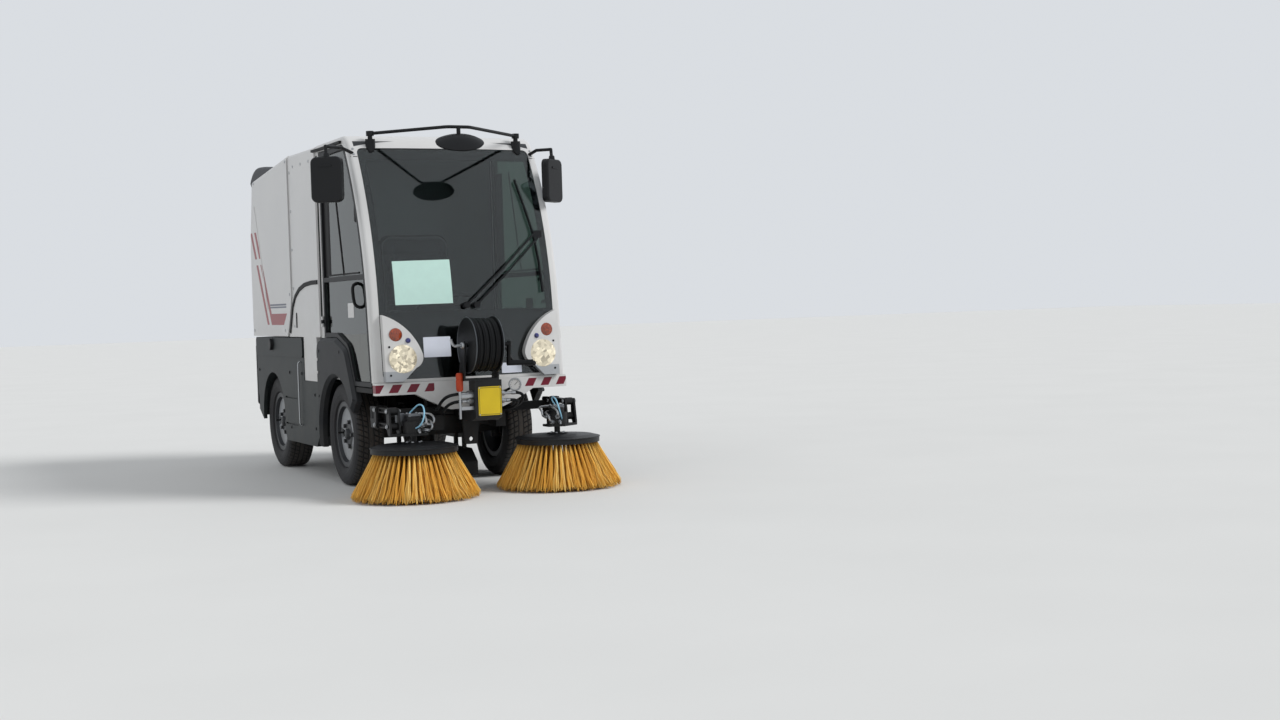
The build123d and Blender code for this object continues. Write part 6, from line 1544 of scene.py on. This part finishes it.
# %% Cab fittings
mesh = bmesh.new()
hub_way = Vector((0, 0.42, 0.91))
turned(mesh, upright((0, -0.745, 0.985), hub_way), [(0, 0.030), (0.026, 0.028), (0.040, 0.018), (0.044, 0.0),
                                                    (0, 0.0)], steps=32)
tube(mesh, [(0.02, -0.775, 0.925), (0.10, -0.790, 0.950), (0.165, -0.800, 0.965)], 0.006)
tube(mesh, [(-0.02, -0.775, 0.925), (-0.10, -0.790, 0.950), (-0.165, -0.800, 0.965)], 0.006)
plate(mesh, upright((-0.345, -0.560, 0.6243), (0, 0, 1)), oblong(0.120, 0.380, 0.030), 0.0, 0.250, 0.020)
for y in (-0.66, -0.60, -0.54):
    tube(mesh, [(-0.345, y, 0.86), (-0.345, y - 0.004, 0.92), (-0.345, y - 0.012, 0.96)], 0.004)
    turned(mesh, upright((-0.345, y - 0.014, 0.968), (0, -0.2, 1)), [(0, 0.016), (0.010, 0.013),
            (0.014, 0.003), (0.010, -0.008), (0, -0.010)], steps=20)
for x in (0.155, 0.215, 0.275, 0.335):
    plate(mesh, upright((x, -0.863, 0.850), (0, 1, 0)), oblong(0.034, 0.050, 0.006), -0.003, 0.008, 0.003)
for x in (-0.045, 0.045):
    plate(mesh, upright((x, -0.905, 0.655), (0, 0.7, 0.7)), oblong(0.060, 0.100, 0.010), 0.0, 0.012, 0.004)
    tube(mesh, [(x, -0.905, 0.655), (x, -0.935, 0.69), (x, -0.945, 0.72)], 0.006)
shown("cab_controls", mesh, black_plastic, "root")
mesh = bmesh.new()
plate(mesh, upright((-0.10, -0.875, 0.945), (0, 0.9, 0.44)), oblong(0.240, 0.130, 0.014), 0.0, 0.016, 0.004)
shown("dash_display", mesh, frit, "root")
mesh = bmesh.new()
for x, y in ((-0.30, -0.965), (0.0, -0.972), (0.30, -0.965)):
    vent = upright((x, y, 0.9695), (0, 0, 1))
    plate(mesh, vent, oblong(0.130, 0.040, 0.010), -0.004, 0.004, 0.002)
    for k in range(6):
        plate(mesh, vent @ Matrix.Translation((-0.05 + 0.02 * k, 0, 0)), oblong(0.005, 0.030, 0.002, 2),
              0.002, 0.009, 0.001)
shown("demister_vents", mesh, hood_plastic, "root")
print("cab fitted")

# %% [markdown]
# The roof carries two pressed ribs and a beacon socket. The hopper's flanks carry screws, and a
# pressed crease that stiffens the sheet.

# %% Roof and hopper details
for name, side in sides:
    mesh = bmesh.new()
    crease = [on_side(side, 1.364 - 0.4006 * (1.689 - z), z, 0.0002)
              for z in (1.689, 1.55, 1.4, 1.25, 1.12, 1.010)]
    strip(mesh, crease, 0.014, 0.0022)
    shown(f"hopper_crease_{name}", mesh, white_enamel, "hopper", sharp=80)
    hinge_bolts = [on_side(side, y, z) for y, z in ((0.53, 1.91), (0.53, 1.10), (1.36, 1.84), (1.47, 0.88),
                                                    (0.66, 0.88))]
    fasteners(f"hopper_screws_{name}", hinge_bolts, "hopper", Sides=16, Head_radius=0.0065, Head_height=0.003,
              Washer_radius=0.0095)
mesh = bmesh.new()
roof = skin("cab_shell", "rear_cowl", "hopper_shell")
for y in (-0.02, 0.40):
    rib = [onto(roof, (x, y, 3), (0, 0, -1), -0.0005) for x in (-0.46, -0.2, 0.0, 0.2, 0.46)]
    strip(mesh, rib, 0.020, 0.007)
turned(mesh, onto(roof, (0.30, -0.30, 3), (0, 0, -1)), [(0, 0.050), (0.014, 0.050), (0.016, 0.046),
                                                        (0.016, 0.016), (0.030, 0.012), (0.034, 0.0),
                                                        (0.034, -0.004), (0, -0.004)], steps=32)
shown("roof_fittings", mesh, white_enamel, "root")
print("roof dressed")

# %% [markdown]
# The machine stands on a plain pale floor under a world of even light. Three suns with wide discs
# stand for soft boxes: a key from the front left, and weak ones from the right and from behind.

# %% Floor
floor_mesh = bpy.data.meshes.new("floor")
floor_mesh.from_pydata([(-60, -60, 0), (60, -60, 0), (60, 60, 0), (-60, 60, 0)], [], [(0, 1, 2, 3)])
floor = bpy.data.objects.new("floor", floor_mesh)
scene.collection.objects.link(floor)
material, tree, shader, place = finish("pale_floor", Roughness=0.9)
mottle = add(tree, "ShaderNodeTexNoise", {"Vector": place, "Scale": 1000 / 900, "Detail": 3.0})
feed(tree, shader, Base_Color=add(tree, "ShaderNodeMix", {"Factor": mottle, 6: "#d8d8d6", 7: "#dededc"}, 2,
                                  data_type="RGBA"))
floor_mesh.materials.append(material)

print("floor laid")

# %% [markdown]
# The eye, glass and metal see the world brighter than it lights, so the background is pale and
# colours stay as they are written. The suns are kept out of reflections, where they would show as
# bright discs.

# %% World and lamps
world = bpy.data.worlds.new("studio")
world.use_nodes = True
scene.world = world
tree = world.node_tree
path = add(tree, "ShaderNodeLightPath", out=None)
seen = add(tree, "ShaderNodeMath", [path.outputs["Is Glossy Ray"], path.outputs["Is Transmission Ray"]],
           operation="MAXIMUM")
seen = add(tree, "ShaderNodeMath", [path.outputs["Is Camera Ray"], seen], operation="MAXIMUM")
strength = add(tree, "ShaderNodeMapRange", {"Value": seen, "To Min": 0.5, "To Max": 0.86})
background = tree.nodes["Background"]
background.inputs["Color"].default_value = linear("#e9edf2")
tree.links.new(strength, background.inputs["Strength"])
for name, power, spread, towards in (("key", 2.2, 24, (-0.95, 0.66, -0.95)),
                                     ("fill", 0.45, 60, (0.9, 0.35, -0.55)),
                                     ("back", 0.45, 60, (0.1, -0.9, -0.6))):
    lamp = bpy.data.lights.new(name, "SUN")
    lamp.energy = power
    lamp.angle = math.radians(spread)
    holder = bpy.data.objects.new(name, lamp)
    holder.rotation_euler = Vector(towards).to_track_quat("-Z", "Y").to_euler()
    holder.visible_glossy = holder.visible_transmission = False
    scene.collection.objects.link(holder)
print("world and lamps")
